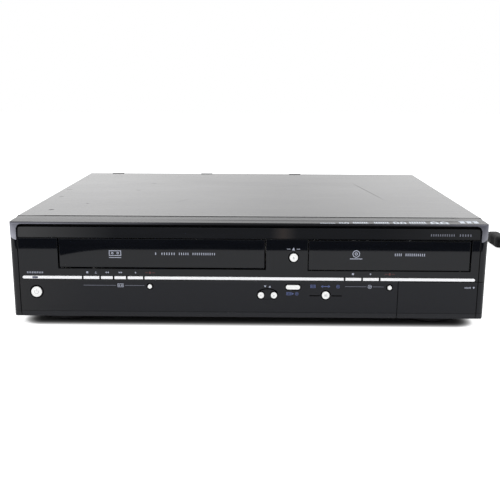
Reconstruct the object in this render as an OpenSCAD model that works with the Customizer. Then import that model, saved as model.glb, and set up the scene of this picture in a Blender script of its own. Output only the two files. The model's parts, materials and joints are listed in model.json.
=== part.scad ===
// Video cassette and disc recorder in one low case, with its tape deck, its disc drive and its mains lead.
// Millimetres, +Z up. X runs to the right seen from the front, Y runs to the back.
// The modules draw the recorder with the plane of the front panel at Y = 0; seat() moves it to the centred origin.

/* [Case] */
// Overall width across the steel cover
case_w = 435; // [430:1:440]
// Overall height with the feet
case_h = 99.5; // [99:0.5:104]
// Depth from the front panel to the rear edge of the cover
case_d = 345; // [340:1:360]
// Thickness of the steel sheet
sheet_t = 1; // [0.8:0.1:1.2]
// Reach of the aerial sockets behind the cover
socket_reach = 7.8; // [6.5:0.1:12]
// Height of the feet
foot_h = 9.5; // [8:0.5:11]
// Diameter of the feet
foot_d = 56; // [40:1:60]
// Distance of a foot's centre from the middle, across the case
foot_x = 174; // [160:1:180]
// Distance of a foot's centre from the front or rear edge
foot_inset = 44; // [42:1:60]

/* [Front panel] */
// Depth of the front moulding
bezel_d = 27.2; // [26.8:0.1:30]
// Wall of the front moulding
bezel_wall = 2.5; // [2.2:0.1:2.6]
// Step in from the cover's side to the moulding's side
bezel_inset = 0.4; // [0.2:0.1:1]
// Width of the plain column at each end of the panel
column_w = 7.3; // [6.5:0.1:8]
// Radius of the moulding's upright corners
corner_r = 5.5; // [4:0.5:6]
// Radius of the moulding's ends at the top and at the bottom
end_r = 3; // [2:0.5:3.5]
// Height of the hood above the dark groove
hood_h = 2.9; // [2.5:0.1:4]
// Height of the dark groove under the hood
groove_h = 2.7; // [2:0.1:3.5]
// Height of the glossy band
band_h = 10.3; // [9:0.1:10.5]
// Height of the tapered chin
chin_h = 5; // [4:0.5:6]
// Setback of the chin at the bottom
chin_in = 1.5; // [1:0.5:4]

/* [Cassette door] */
// Middle of the cassette door, and of the tape deck
deck_x = -78.7; // [-80:0.1:-78]
// Width of the cassette door
door_w = 186.8; // [186.5:0.1:187.4]
// Height of the cassette door
door_h = 26.4; // [26.2:0.1:26.8]
// Thickness of the door panels
door_t = 2.3; // [2:0.1:2.6]
// Radius of the door's pins
door_pin_r = 0.8; // [0.7:0.05:1]

/* [Disc tray] */
// Middle of the disc drive
disc_x = 128.75; // [128:0.25:129]
// Width of the tray's front panel
tray_front_w = 145.8; // [145:0.1:146.4]
// Height of the tray's front panel
tray_front_h = 27.2; // [26:0.1:27.5]
// Width of the tray
tray_w = 130; // [128:0.5:131]
// Length of the tray
tray_l = 180; // [170:1:182]
// Thickness of the tray
tray_t = 8.5; // [8:0.1:8.6]
// Travel of the tray
tray_travel = 132; // [120:1:134]
// Radius of the well for a full-size disc
well_r = 60.8; // [60.4:0.1:61]

/* [Flap] */
// Left edge of the flap over the front sockets
flap_left = 137.4; // [136.5:0.1:138]
// Top edge of the flap, above the case's bottom
flap_h = 35.2; // [34:0.1:35.5]

/* [Keys] */
// Height of the silver strip's middle above the case's bottom
strip_up = 37.5; // [37:0.1:38]
// Height of the silver strip
strip_h = 2.5; // [2.2:0.1:3.2]
// Distance that the strip stands out of the panel
strip_proud = 0.8; // [0.6:0.1:1.1]
// Distance that the buttons stand out of the panel
button_proud = 1.2; // [1.1:0.1:1.6]
// Travel of a key or button
key_travel = 0.8; // [0.5:0.1:0.85]
// Gap around a key or button
key_gap = 0.25; // [0.15:0.05:0.3]
// Radius of the power button
power_r = 4.8; // [4.5:0.1:5.2]
// Radius of the two record buttons
record_r = 1.9; // [1.8:0.1:2.3]

/* [Tape deck] */
// Distance that the holder moves in
holder_in = 45; // [40:1:46]
// Distance that the holder drops
holder_drop = 17; // [16:0.5:17]
// Length of the cassette holder
holder_l = 66; // [60:1:67]
// Radius of the head drum
drum_r = 31; // [30:0.5:31]
// Tilt of the head drum in degrees
drum_tilt = 5.9; // [4:0.1:6]
// Radius of the capstan
capstan_r = 2; // [1.8:0.1:2.2]
// Radius of the pinch roller
roller_r = 6; // [5.5:0.1:6.2]
// Distance between the two reel spindles
reel_pitch = 92; // [90:0.5:93]

/* [Fits] */
// Radial clearance of a turning fit
run_fit = 0.06; // [0.04:0.01:0.09]
// Gap between a sliding piece and its guide
slide_gap = 0.4; // [0.3:0.05:0.5]

/* [Mains lead] */
// Diameter of the lead
cord_d = 6.5; // [6.5]
// Radius at the middle of the coil's turns
coil_r = 36; // [36]

/* [Hidden] */
$fn = 48;
tiny = 0.01;
half_w = case_w / 2;
total_d = button_proud + case_d + socket_reach;
panel_y = button_proud - total_d / 2;
base_z = foot_h;
floor_z = base_z + sheet_t;

bezel_half = half_w - bezel_inset;
bezel_top = case_h - 0.3;
cheek_x = bezel_half - column_w;
groove_top = bezel_top - hood_h + 0.3;
band_top = groove_top - groove_h;
band_bottom = band_top - band_h;
groove_back = 6;
band_back = 3.4;
recess_r = 5;
thick_back = 8.5;
cover_y = bezel_d + 0.3;
rear_y = case_d - sheet_t;

door_top = band_bottom - 0.5;
door_bottom = door_top - door_h;
door_front = 0.3;
door_gap = 1.5;
door_pin_y = 3.2;
door_pin_z = door_top - 0.5;
door_pin_len = 4.6;
door_left = deck_x - door_w / 2;
door_right = deck_x + door_w / 2;
slot_bottom = door_bottom - door_gap;
opening_half = door_w / 2 + door_gap;

tray_front_top = door_top - 0.5;
tray_front_bottom = tray_front_top - tray_front_h;
tray_gap = 0.9;
tray_right_gap = 1.5;
tray_front_left = disc_x - tray_w / 2 - 8.75;
tray_front_right = tray_front_left + tray_front_w;
tray_y = door_front + 2.7;
tray_z = tray_front_bottom + 5.6;
spindle_y = 79;
slot_half = 25;

flap_top = base_z + flap_h;
flap_gap = 0.6;
flap_pin_y = 6;
flap_pin_z = base_z + 3.5;
flap_pin_r = 1.05;
flap_back = 5.5;
recess_left = flap_left + 3.6;
recess_right = cheek_x - 4.8;
recess_back = 16.2;
ear_t = 2;
ear_r = 2.4;
flap_sweep = 10;

strip_z = base_z + strip_up;
strip_end = bezel_half - 10.5;
lens_x = [-197.6, -192.5];
key_back = 6.1;
switch_tip = key_back + 0.9;
board_y = 11;
board_t = 1.6;
// Middle x, height above the bottom, and radius of each round button
power_at = [-194.5, base_z + 23.7, power_r];
tape_rec_at = [-90.1, base_z + 29.4, record_r];
disc_rec_at = [129.4, base_z + 29.7, record_r];
tray_button_at = [41.3, base_z + 57.5, 3.7];
down_at = [11.8, base_z + 21.8, 2.8];
up_at = [23.7, base_z + 21.8, 2.8];
select_at = [71.2, base_z + 22.2, 3.45];
dub_at = [41.1, base_z + 29.6, 1.95];
dub_w = 13;
// Left and right ends of the keys in the silver strip
eject_x = [-151.4, -135.4];
rewind_x = [-135.4, -123.1];
forward_x = [-123.1, -111];
tape_play_x = [-111, -95.4];
disc_stop_x = [88, 103.9];
disc_play_x = [103.9, 119.9];
round_buttons = [power_at, tape_rec_at, disc_rec_at, tray_button_at, down_at, up_at, select_at];
tape_keys = [eject_x, rewind_x, forward_x, tape_play_x];
disc_keys = [disc_stop_x, disc_play_x];

deck_t = 1.2;
deck_top = slot_bottom - sheet_t - holder_drop - 1.4;
deck_bottom = deck_top - deck_t;
deck_front = 33;
deck_back = 248;
post_r = 1.5;
big_post_r = 2;
boss_h = 1.3;
lift = 0.2;
holder_y = 38;
holder_half = opening_half + 0.7;
holder_top = slot_bottom + 27.2;
pin_z = (slot_bottom + holder_top) / 2;
holder_pins = [holder_y + 12, holder_y + holder_l - 12];
driver_in = holder_half + 1.3;
driver_out = driver_in + 1.2;
deck_half = driver_out + 0.5;
driver_y = holder_y - 2;
driver_l = holder_l - 2;
rail_z = holder_top - 3;
reel_y = 97;
drum_y = 205;
drum_z = deck_top + 13.7;
guide_r = drum_r + 14;
guide_rest = 25;
ring_in = 18.4;
capstan_at = [deck_x + 64, 158];
pinch_pivot = [deck_x + 80, 184];
pinch_l = 23.3;
pinch_angle = -88;
loading_at = [deck_x - 75, 188];
gear_z = deck_top + boss_h + lift;

drive_half = 69.5;
drive_wall = 2;
drive_front = 17;
drive_back = 204;
drive_z = tray_z - 17;
drive_top = tray_z + 16;
rod_x = 24;
rod_z = tray_z - 5.5;
rod_front = 96;
rod_back = 168;
screw_x = -32;
pickup_y = 98;
pickup_l = 20;
pinion_teeth = 16;
pinion_r = 8;
rack_x = -43;
pinion_y = 26;

board_z = floor_z + 4;
psu_left = 62;
psu_right = 206;
psu_back = rear_y - 14;
psu_front = psu_back - 98;
main_left = deck_x - 87;
main_right = deck_x + 87;
main_front = 60;
main_back = rear_y - 9;
fan_at = [44, base_z + 46];
fan_size = 40;
fan_t = 10;
fan_y = rear_y - sheet_t - fan_t;
rca_r = 4.15;
rca_pitch = 14;
rca_cols = 7;
rca_left = -108;
rca_rows = [base_z + 22, base_z + 38, base_z + 54];
aerial_r = 4.76;
aerial_x = -152;
aerial_z = [base_z + 32, base_z + 54];
screw_y = [90, case_d - 65];
screw_z = base_z + 12.5;
rear_screw_x = [-190, 0, 190];
rear_screw_z = case_h - 5.5;
dimple_d = 2.2;
flange_x = half_w - dimple_d - 0.8;

cord_exit = [188, 42];
relief_l = 28;
cord_start = case_d - 1 + relief_l;
plug_at = [341.5, 337];
plug_w = 17;
plug_l = 43;
plug_h = 16;
neck_l = 20;
coil_at = [405, 325];
coil_h = 3 * cord_d + 0.1;
// Route of the lead from its strain relief to the coil
lead_route = [
    [188, 372, 42], [188, 381, 42], [190, 394, 39], [196, 405, 30.5], [207, 412.5, 19.5], [223, 416.5, 9.5],
    [241, 418, 4.2], [260, 418, 3.3], [280, 418, 3.3], [300, 416.5, 3.3], [320, 413.5, 3.3], [338, 408, 3.3],
    [353, 399, 3.3], [366, 387, 3.3], [379, 374.5, 3.3], [391.5, 366.5, 3.3], [405, 364.3, 3.3]
];
// Route of the lead from the coil to the plug
end_route = [
    [405, 285.7, 9.8], [387, 285, 9], [369.5, 283.5, 6.8], [355.5, 287, 5.2], [345.6, 296.5, 6],
    [341.8, 308, 7.3], [341.5, 313, 7.5], [341.5, 317, 7.5]
];

// Moves a piece from the front panel's plane to the centred origin
module seat() {
    translate([0, panel_y, 0]) children();
}

// Extrudes a profile drawn in Y and Z from x0 to x1
module along_x(x0, x1) {
    translate([x0, 0, 0]) rotate([90, 0, 90]) linear_extrude(x1 - x0) children();
}

// Extrudes a shape drawn in X and Z from y0 to y1
module along_y(y0, y1) {
    translate([0, y1, 0]) rotate([90, 0, 0]) linear_extrude(y1 - y0) children();
}

// A box between two corners
module box(low, high) {
    translate(low) cube(high - low);
}

// A round bar along Y
module rod_y(x, z, r, y0, y1) {
    translate([x, y0, z]) rotate([-90, 0, 0]) cylinder(h = y1 - y0, r = r);
}

// A round bar along X
module rod_x_bar(y, z, r, x0, x1) {
    translate([x0, y, z]) rotate([0, 90, 0]) cylinder(h = x1 - x0, r = r);
}

// A round post along Z
module post(at, r, z0, z1) {
    translate([at[0], at[1], z0]) cylinder(h = z1 - z0, r = r);
}

// A shape in X and Z, centred on X, with round upper corners
module arched(half, z0, z1, r) {
    translate([-half, z0]) square([2 * half, z1 - z0 - r]);
    translate([r - half, z0]) square([2 * (half - r), z1 - z0]);
    for (side = [-1, 1]) translate([side * (half - r), z1 - r]) circle(r);
}

// A slot with round ends, in a plane
module slot_2d(length, r) {
    square([length, 2 * r], center = true);
    for (side = [-1, 1]) translate([side * length / 2, 0]) circle(r);
}

// A flat gear with tapered teeth
module gear_2d(teeth, r, tooth_w) {
    circle(r - 1.1);
    for (i = [0 : teeth - 1]) rotate(i * 360 / teeth)
        polygon([
            [r - 1.5, -tooth_w * 0.75], [r + 0.8, -tooth_w * 0.3],
            [r + 0.8, tooth_w * 0.3], [r - 1.5, tooth_w * 0.75]
        ]);
}

/* Case */

// The front panel's outer form, filled
module panel_form() {
    intersection() {
        along_x(-bezel_half, bezel_half) polygon([
            [bezel_d, bezel_top], [1.4, bezel_top - 0.9], [0, bezel_top - 2.2],
            [0, base_z + chin_h], [chin_in, base_z], [bezel_d, base_z]
        ]);
        linear_extrude(case_h) hull() {
            translate([-bezel_half, bezel_d - 1]) square([2 * bezel_half, 1]);
            for (side = [-1, 1]) translate([side * (bezel_half - corner_r), corner_r]) circle(corner_r);
        }
        along_y(-1, bezel_d + 1) hull() for (side = [-1, 1], z = [base_z + end_r, bezel_top - end_r])
            translate([side * (bezel_half - end_r), z]) circle(end_r);
    }
}

module panel_cavity() {
    inner = bezel_half - bezel_wall;
    along_x(-inner, inner) polygon([
        [bezel_d + 1, bezel_top - 2], [thick_back, bezel_top - 2], [thick_back, band_bottom - 1.5],
        [bezel_wall, band_bottom - 1.5], [bezel_wall, base_z + chin_h + 1], [chin_in + 2.5, base_z + 2.5],
        [bezel_d + 1, base_z + 2.5]
    ]);
}

module button_bores() {
    for (b = round_buttons) rod_y(b[0], b[1], b[2] + key_gap, -1, bezel_wall + 1);
    along_y(-1, bezel_wall + 1) translate([dub_at[0], dub_at[1]]) slot_2d(dub_w - 2 * dub_at[2], dub_at[2] + key_gap);
    half = strip_h / 2 + key_gap;
    box([eject_x[0], -1, strip_z - half], [tape_play_x[1], bezel_wall + 1, strip_z + half]);
    box([disc_stop_x[0], -1, strip_z - half], [disc_play_x[1], bezel_wall + 1, strip_z + half]);
}

// The pocket behind the flap, with the ears that hold the flap's pins
module flap_pocket() {
    wall = 1.5;
    pocket_low = base_z + 2.5;
    pocket_high = flap_top - 2;
    difference() {
        box([recess_left - ear_t, 4.2, base_z + 1], [recess_right + ear_t, recess_back, pocket_high + wall]);
        box([recess_left, 0, pocket_low], [recess_right, recess_back - wall, pocket_high]);
        box([recess_left, 0, base_z], [recess_right, flap_sweep, pocket_low + 1]);
        box([recess_left - ear_t - 1, 0, base_z], [recess_right + ear_t + 1, flap_sweep, flap_pin_z + 0.4]);
        for (x = jack_x()) rod_y(x, jack_z(), rca_r + 0.3, recess_back - wall - 1, recess_back + 1);
    }
    for (x = [recess_left - ear_t, recess_right]) rod_x_bar(flap_pin_y, flap_pin_z, ear_r, x, x + ear_t);
}

function jack_x() = [for (i = [0 : 3]) recess_left + 11 + i * rca_pitch];
function jack_z() = base_z + 20;

module front_bezel() {
    color("#1b1b1e") seat() {
        difference() {
            union() {
                difference() {
                    panel_form();
                    panel_cavity();
                }
                // Rim that slides under the cover
                box([-bezel_half + 4, bezel_d - 2, bezel_top - 2.2], [bezel_half - 4, bezel_d + 5, case_h - sheet_t - 0.2]);
                // Bosses for the door's pins
                for (x = [door_left - 4.5, door_right + 1.2])
                    box([x, bezel_wall - 0.1, door_pin_z - 2.2], [x + 3.3, thick_back + 0.1, band_bottom + 1.4]);
                // Posts that carry the key board
                for (x = [-203, -122, -4, 60, 122])
                    rod_y(x, base_z + 15.5, 3, bezel_wall - 0.5, board_y);
            }
            // Groove and the seat of the glossy band
            along_y(-1, groove_back) arched_groove();
            along_y(-1, band_back) arched(cheek_x, band_bottom, groove_top, recess_r);
            // Openings for the cassette and the tray
            box([door_left - door_gap, -1, slot_bottom], [door_right + door_gap, thick_back + 1, band_bottom + 0.7]);
            box([tray_front_left - tray_gap, -1, tray_front_bottom - tray_gap],
                [tray_front_right + tray_right_gap, thick_back + 1, tray_front_top + tray_gap]);
            // Pin bores of the cassette door and the spring's room
            rod_x_bar(door_pin_y, door_pin_z, door_pin_r + run_fit, door_left - 12, door_left);
            rod_x_bar(door_pin_y, door_pin_z, door_pin_r + run_fit, door_right, door_right + 12);
            box([door_left - 10.5, 1.2, door_pin_z - 2.2], [door_left - 4.5, thick_back + 1, door_pin_z + 2.2]);
            box([door_right + 4.5, 1.2, door_pin_z - 2.2], [door_right + 7, thick_back + 1, door_pin_z + 2.2]);
            button_bores();
            // Fine grooves beside the columns
            for (side = [-1, 1]) box([side * cheek_x - 0.4, -1, base_z - 1], [side * cheek_x + 0.4, 0.8, band_bottom]);
            // Shallow seat of the silver strip
            for (x = [-strip_end, tape_play_x[1], disc_play_x[1]])
                box([x - 0.1, -1, strip_z - strip_h / 2 - 0.1], [trim_right(x) + 0.1, 0.6, strip_z + strip_h / 2 + 0.1]);
            // Round dish around the power button and the link between the channel buttons
            rod_y(power_at[0], power_at[1], power_r + 1.5, -1, 0.6);
            along_y(-1, 0.6) translate([(down_at[0] + up_at[0]) / 2, down_at[1]]) slot_2d(up_at[0] - down_at[0], up_at[2] + 1.2);
            // Thinned window in front of the display
            box([display_left() - 2, 1.5, base_z + 9], [display_left() + 70, 3, base_z + 28]);
            // Room for the flap
            box([flap_left - flap_gap, -1, base_z - 1], [half_w, flap_back + flap_gap, flap_top + flap_gap]);
            box([flap_left - flap_gap, -1, base_z - 1], [half_w, flap_sweep, base_z + 4]);
        }
        difference() {
            union() {
                flap_pocket();
                // Web that ties the pocket to the panel above
                box([recess_left, 6.2, flap_top - 1], [recess_right, 8, flap_top + 3.6]);
                box([recess_left, bezel_wall - 0.1, flap_top + 1.6], [recess_right, 8, flap_top + 3.6]);
            }
            button_bores();
            rod_x_bar(flap_pin_y, flap_pin_z, flap_pin_r + run_fit, recess_left - ear_t - 1, recess_right + ear_t + 1);
        }
    }
}

function display_left() = -74;
function trim_right(x) = x < eject_x[0] - 20 ? eject_x[0] : x < 0 ? disc_stop_x[0] : strip_end;

// The groove has a narrower, round-ended outline than the band's recess
module arched_groove() {
    arched(cheek_x, band_top, groove_top, groove_h / 2);
}

module gloss_band() {
    half = cheek_x - 0.15;
    color("#101012") seat() intersection() {
        along_x(-half, half) polygon([
            [band_back, band_top], [2.6, band_top], [2.1, band_top - 0.5],
            [1.0, band_bottom + 0.15], [band_back, band_bottom + 0.15]
        ]);
        along_y(-1, band_back) difference() {
            arched(half, band_bottom, band_top, 2.6);
            // Relief in front of the door's spring
            translate([door_left - 10, band_bottom - 1]) square([6, 2]);
        }
    }
}

// Three lengths between the keys; the outer ends are round
module silver_trim() {
    r = strip_h / 2;
    color("#e8e8ea") seat() for (x = [-strip_end, tape_play_x[1], disc_play_x[1]]) {
        first = x < -strip_end + 1;
        last = x > 0;
        from = first ? x + r : x + key_gap;
        to = trim_right(x) - (last ? r : key_gap);
        difference() {
            union() {
                box([from, -strip_proud, strip_z - r], [to, 0.6, strip_z + r]);
                if (first || last) rod_y(first ? from : to, strip_z, r, -strip_proud, 0.6);
            }
            // Small standby window near the left end
            if (first) box([lens_x[0], -strip_proud - 1, strip_z - 0.9], [lens_x[1], 0, strip_z + 0.9]);
        }
    }
}

module side_dimple(side, y) {
    outer = side * half_w;
    translate([outer, y, screw_z]) rotate([0, -90 * side, 0]) children();
}

module top_cover() {
    color("#2c2c2e") seat() difference() {
        union() {
            along_y(cover_y, case_d) difference() {
                arched(half_w, base_z + 1.3, case_h, 2.2);
                arched(half_w - sheet_t, base_z, case_h - sheet_t, 1.2);
            }
            // Rear flange
            box([flange_x * -1, rear_y, case_h - 10], [flange_x, case_d, case_h - sheet_t / 2]);
            for (side = [-1, 1], y = screw_y) side_dimple(side, y) cylinder(h = dimple_d + 0.8, r = 6.3);
        }
        for (side = [-1, 1], y = screw_y) side_dimple(side, y) {
            translate([0, 0, -1]) cylinder(h = dimple_d + 1, r = 5.5);
            cylinder(h = 10, r = 1.7);
        }
        for (x = rear_screw_x) rod_y(x, rear_screw_z, 1.7, rear_y - 1, case_d + 1);
    }
}

module cover_screws() {
    color("#3a3a3d") seat() {
        for (side = [-1, 1], y = screw_y) side_dimple(side, y) {
            translate([0, 0, dimple_d]) cylinder(h = 7.5, r = 1.4);
            screw_head(dimple_d);
        }
        for (x = rear_screw_x) translate([x, case_d, rear_screw_z]) rotate([90, 0, 0]) {
            cylinder(h = 8, r = 1.4);
            translate([0, 0, -1.8]) screw_head(1.8);
        }
    }
}

// A pan head whose seat is at the given height, with a cross recess
module screw_head(seat_at) {
    difference() {
        translate([0, 0, seat_at - 1.8]) cylinder(h = 1.8, r1 = 3.2, r2 = 4);
        for (turn = [0, 90]) rotate([0, 0, turn]) translate([-2, -0.35, seat_at - 2]) cube([4, 0.7, 1.2]);
    }
}

module chassis_pan() {
    color("#9a9da0") seat() difference() {
        union() {
            box([-flange_x, bezel_d, base_z], [flange_x, case_d - 1, floor_z]);
            for (side = [-1, 1])
                box([min(side * flange_x, side * (flange_x - sheet_t)), bezel_d, base_z],
                    [max(side * flange_x, side * (flange_x - sheet_t)), rear_y - sheet_t, base_z + 25]);
            box([-flange_x, bezel_d, base_z], [flange_x, bezel_d + sheet_t, base_z + 29]);
            for (at = board_posts()) post(at, 3, floor_z - tiny, board_z);
        }
        for (side = [-1, 1], y = screw_y) side_dimple(side, y) cylinder(h = 10, r = 1.4 + run_fit);
        // Air slots under the power supply
        for (i = [0 : 7])
            box([psu_left + 18 + i * 14, psu_front + 13, base_z - 1], [psu_left + 22 + i * 14, psu_back - 30, floor_z + 1]);
    }
}

function board_posts() = concat(
    [for (x = [main_left + 6, main_right - 6], y = [main_front + 6, main_back - 40]) [x, y]],
    [for (x = [psu_left + 6, psu_right - 6], y = [psu_front + 6, psu_back - 6]) [x, y]]
);

module rear_panel() {
    color("#8d9093") seat() difference() {
        box([-flange_x, rear_y - sheet_t, floor_z], [flange_x, rear_y, case_h - sheet_t - 0.2]);
        for (x = rear_screw_x) rod_y(x, rear_screw_z, 1.4 + run_fit, rear_y - 5, rear_y + 1);
        for (z = rca_rows, i = [0 : rca_cols - 1]) rod_y(rca_left + i * rca_pitch, z, rca_r + 0.4, rear_y - 5, rear_y + 1);
        for (z = aerial_z) rod_y(aerial_x, z, aerial_r + 0.4, rear_y - 5, rear_y + 1);
        box([4.5, rear_y - 5, base_z + 12.8], [20.5, rear_y + 1, base_z + 19.2]);
        rod_y(cord_exit[0], cord_exit[1], 6, rear_y - 5, rear_y + 1);
        // Fan grille
        for (i = [-3 : 3]) {
            reach = sqrt(pow(fan_size / 2 - 2, 2) - pow(i * 5, 2));
            box([fan_at[0] - reach, rear_y - 5, fan_at[1] + i * 5 - 1.6], [fan_at[0] + reach, rear_y + 1, fan_at[1] + i * 5 + 1.6]);
        }
        // Air slots above the power supply
        for (i = [0 : 8]) box([84 + i * 9, rear_y - 5, base_z + 60], [88 + i * 9, rear_y + 1, base_z + 76]);
    }
}

module feet() {
    color("#17171a") seat() for (side = [-1, 1], y = [foot_inset, case_d - foot_inset])
        translate([side * foot_x, y, 0]) rotate_extrude($fn = 64) polygon([
            [0, 2.5], [foot_d / 2 - 14, 2.5], [foot_d / 2 - 12, 0], [foot_d / 2 - 3, 0],
            [foot_d / 2 - 1.2, 1.6], [foot_d / 2, foot_h], [0, foot_h]
        ]);
}

/* Keys and buttons */

module round_button(at) {
    seat() {
        rod_y(at[0], at[1], at[2], -button_proud, bezel_wall + 0.3);
        rod_y(at[0], at[1], at[2] + 1, bezel_wall + 0.2, bezel_wall + 1.2);
        rod_y(at[0], at[1], 1.6, bezel_wall + 1, key_back);
    }
}

module bar_key(ends) {
    x0 = ends[0] + key_gap;
    x1 = ends[1] - key_gap;
    seat() {
        box([x0, -strip_proud, strip_z - strip_h / 2], [x1, bezel_wall + 0.3, strip_z + strip_h / 2]);
        box([x0, bezel_wall + 0.2, strip_z - strip_h / 2 - 1], [x1, bezel_wall + 1.2, strip_z + strip_h / 2 + 1]);
        rod_y((x0 + x1) / 2, strip_z, 1.6, bezel_wall + 1, key_back);
    }
}

module power_button() { color("#f2f2f2") round_button(power_at); }
module tape_record_button() { color("#f2f2f2") round_button(tape_rec_at); }
module disc_record_button() { color("#f2f2f2") round_button(disc_rec_at); }
module tray_button() { color("#f2f2f2") round_button(tray_button_at); }
module channel_down_button() { color("#f2f2f2") round_button(down_at); }
module channel_up_button() { color("#f2f2f2") round_button(up_at); }
module select_button() { color("#f2f2f2") round_button(select_at); }
module eject_key() { color("#e8e8ea") bar_key(eject_x); }
module rewind_key() { color("#e8e8ea") bar_key(rewind_x); }
module forward_key() { color("#e8e8ea") bar_key(forward_x); }
module tape_play_key() { color("#e8e8ea") bar_key(tape_play_x); }
module disc_stop_key() { color("#e8e8ea") bar_key(disc_stop_x); }
module disc_play_key() { color("#e8e8ea") bar_key(disc_play_x); }

module dubbing_button() {
    color("#f2f2f2") seat() {
        along_y(-button_proud, bezel_wall + 0.3) translate([dub_at[0], dub_at[1]]) slot_2d(dub_w - 2 * dub_at[2], dub_at[2]);
        along_y(bezel_wall + 0.2, bezel_wall + 1.2) translate([dub_at[0], dub_at[1]]) slot_2d(dub_w - 2 * dub_at[2], dub_at[2] + 1);
        rod_y(dub_at[0], dub_at[1], 1.6, bezel_wall + 1, key_back);
    }
}

function key_middle(ends) = [(ends[0] + ends[1]) / 2, strip_z];

// Circuit board behind the keys, with a switch behind each of them
module key_board() {
    switches = concat(
        [for (b = round_buttons) [b[0], b[1]]], [[dub_at[0], dub_at[1]]],
        [for (k = tape_keys) key_middle(k)], [for (k = disc_keys) key_middle(k)]
    );
    color("#7a5a2c") seat() {
        box([-206, board_y, base_z + 11.5], [134, board_y + board_t, slot_bottom - 2]);
        box([tray_button_at[0] - 11, board_y, slot_bottom - 3], [tray_button_at[0] + 9, board_y + board_t, tray_button_at[1] + 6]);
        for (s = switches) {
            box([s[0] - 3, switch_tip + 0.6, s[1] - 3], [s[0] + 3, board_y + 0.1, s[1] + 3]);
            rod_y(s[0], s[1], 1.7, switch_tip, switch_tip + 0.7);
        }
    }
}

module display_module() {
    left = display_left();
    color("#22413c") seat() difference() {
        box([left, 4.6, base_z + 11.6], [left + 66, board_y, base_z + 25.6]);
        box([left + 2, 4, base_z + 13.4], [left + 64, 5, base_z + 23.8]);
    }
}

/* Doors */

module av_flap() {
    lug_w = 2;
    inner = bezel_half - bezel_wall;
    color("#1b1b1e") seat() {
        difference() {
            intersection() {
                panel_form();
                box([flap_left, -1, base_z - 1], [half_w, flap_back, flap_top]);
            }
            along_x(flap_left - 1, inner) polygon([
                [flap_back + 1, flap_top + 1], [bezel_wall, flap_top + 1], [bezel_wall, base_z + chin_h + 0.8],
                [chin_in + 1.8, base_z + 1.8], [flap_back + 1, base_z + 1.8]
            ]);
            box([cheek_x - 0.4, -1, base_z - 1], [cheek_x + 0.4, 0.8, case_h]);
            // Room around the ears of the pocket
            for (x = [recess_left - ear_t, recess_right])
                rod_x_bar(flap_pin_y, flap_pin_z, ear_r + 0.5, x - 0.5, x + ear_t + 0.3);
        }
        for (x = [recess_left + 0.3, recess_right - 0.3 - lug_w])
            box([x, bezel_wall - 0.4, flap_pin_z - 1.9], [x + lug_w, flap_pin_y + 1.6, flap_pin_z + 1.9]);
        rod_x_bar(flap_pin_y, flap_pin_z, flap_pin_r, recess_left - ear_t + 0.2, recess_left + 1);
        rod_x_bar(flap_pin_y, flap_pin_z, flap_pin_r, recess_right - 1, recess_right + ear_t - 0.2);
    }
}

module cassette_door() {
    ear = 2;
    back = door_front + door_t;
    color("#0d0d10") seat() {
        difference() {
            box([door_left, door_front, door_bottom], [door_right, back, door_top]);
            // Relief on the inner face keeps the door light
            box([door_left + 4, back - 0.8, door_bottom + 3], [door_right - 4, back + 1, door_top - 5]);
        }
        for (x = [door_left, door_right - ear]) {
            box([x, back - 0.1, door_pin_z - 1.8], [x + ear, door_pin_y + 0.8, door_pin_z + 0.4]);
            rod_x_bar(door_pin_y, door_pin_z, door_pin_r + 0.25, x, x + ear);
        }
        rod_x_bar(door_pin_y, door_pin_z, door_pin_r, door_left - 5 - door_pin_len, door_left + 1);
        rod_x_bar(door_pin_y, door_pin_z, door_pin_r, door_right - 1, door_right + door_pin_len);
    }
}

module door_spring() {
    x = door_left - 9;
    color("#b8bcc0") seat() {
        difference() {
            rod_x_bar(door_pin_y, door_pin_z, door_pin_r + 0.75, x, x + 4);
            rod_x_bar(door_pin_y, door_pin_z, door_pin_r + 0.3, x - 1, x + 5);
        }
        // Leg that bears on the moulding
        translate([x + 0.4, door_pin_y + 1.1, door_pin_z - 8]) cylinder(h = 8.1, r = 0.3);
    }
}

module tray_front() {
    low = [tray_front_left, door_front, tray_front_bottom];
    high = [tray_front_right, tray_y, tray_front_top];
    color("#0d0d10") seat() difference() {
        box(low, high);
        box(low + [3, 1.8, 3], [high[0] - 3, tray_y + 1, tray_z - 0.3]);
        box([low[0] + 3, low[1] + 1.8, tray_z + tray_t + 0.3], [high[0] - 3, tray_y + 1, high[2] - 3]);
    }
}

/* Disc drive, drawn about the spindle's X */

module at_drive() {
    seat() translate([disc_x, 0, 0]) children();
}

module disc_tray() {
    half = tray_w / 2;
    pitch = 2 * PI * pinion_r / pinion_teeth;
    rack_n = floor((tray_travel + 16) / pitch);
    color("#2a2a2d") at_drive() {
        difference() {
            box([-half, tray_y, tray_z], [half, tray_y + tray_l, tray_z + tray_t]);
            post([0, spindle_y], well_r, tray_z + tray_t - 4, case_h);
            post([0, spindle_y], 41, tray_z + tray_t - 5, case_h);
            post([0, spindle_y], slot_half, 0, case_h);
            box([-slot_half, spindle_y, 0], [slot_half, case_d, case_h]);
        }
        // Rack that hangs under the tray
        box([rack_x + 1.1, pinion_y - 8, tray_z - 4.8], [rack_x + 4, pinion_y - 8 + rack_n * pitch, tray_z + tiny]);
        for (i = [0 : rack_n - 3]) translate([rack_x, pinion_y + (i - 1 + 0.5) * pitch, tray_z - 4.8])
            linear_extrude(4.8) polygon([[1.3, -0.8], [-0.8, -0.35], [-0.8, 0.35], [1.3, 0.8]]);
    }
}

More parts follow.
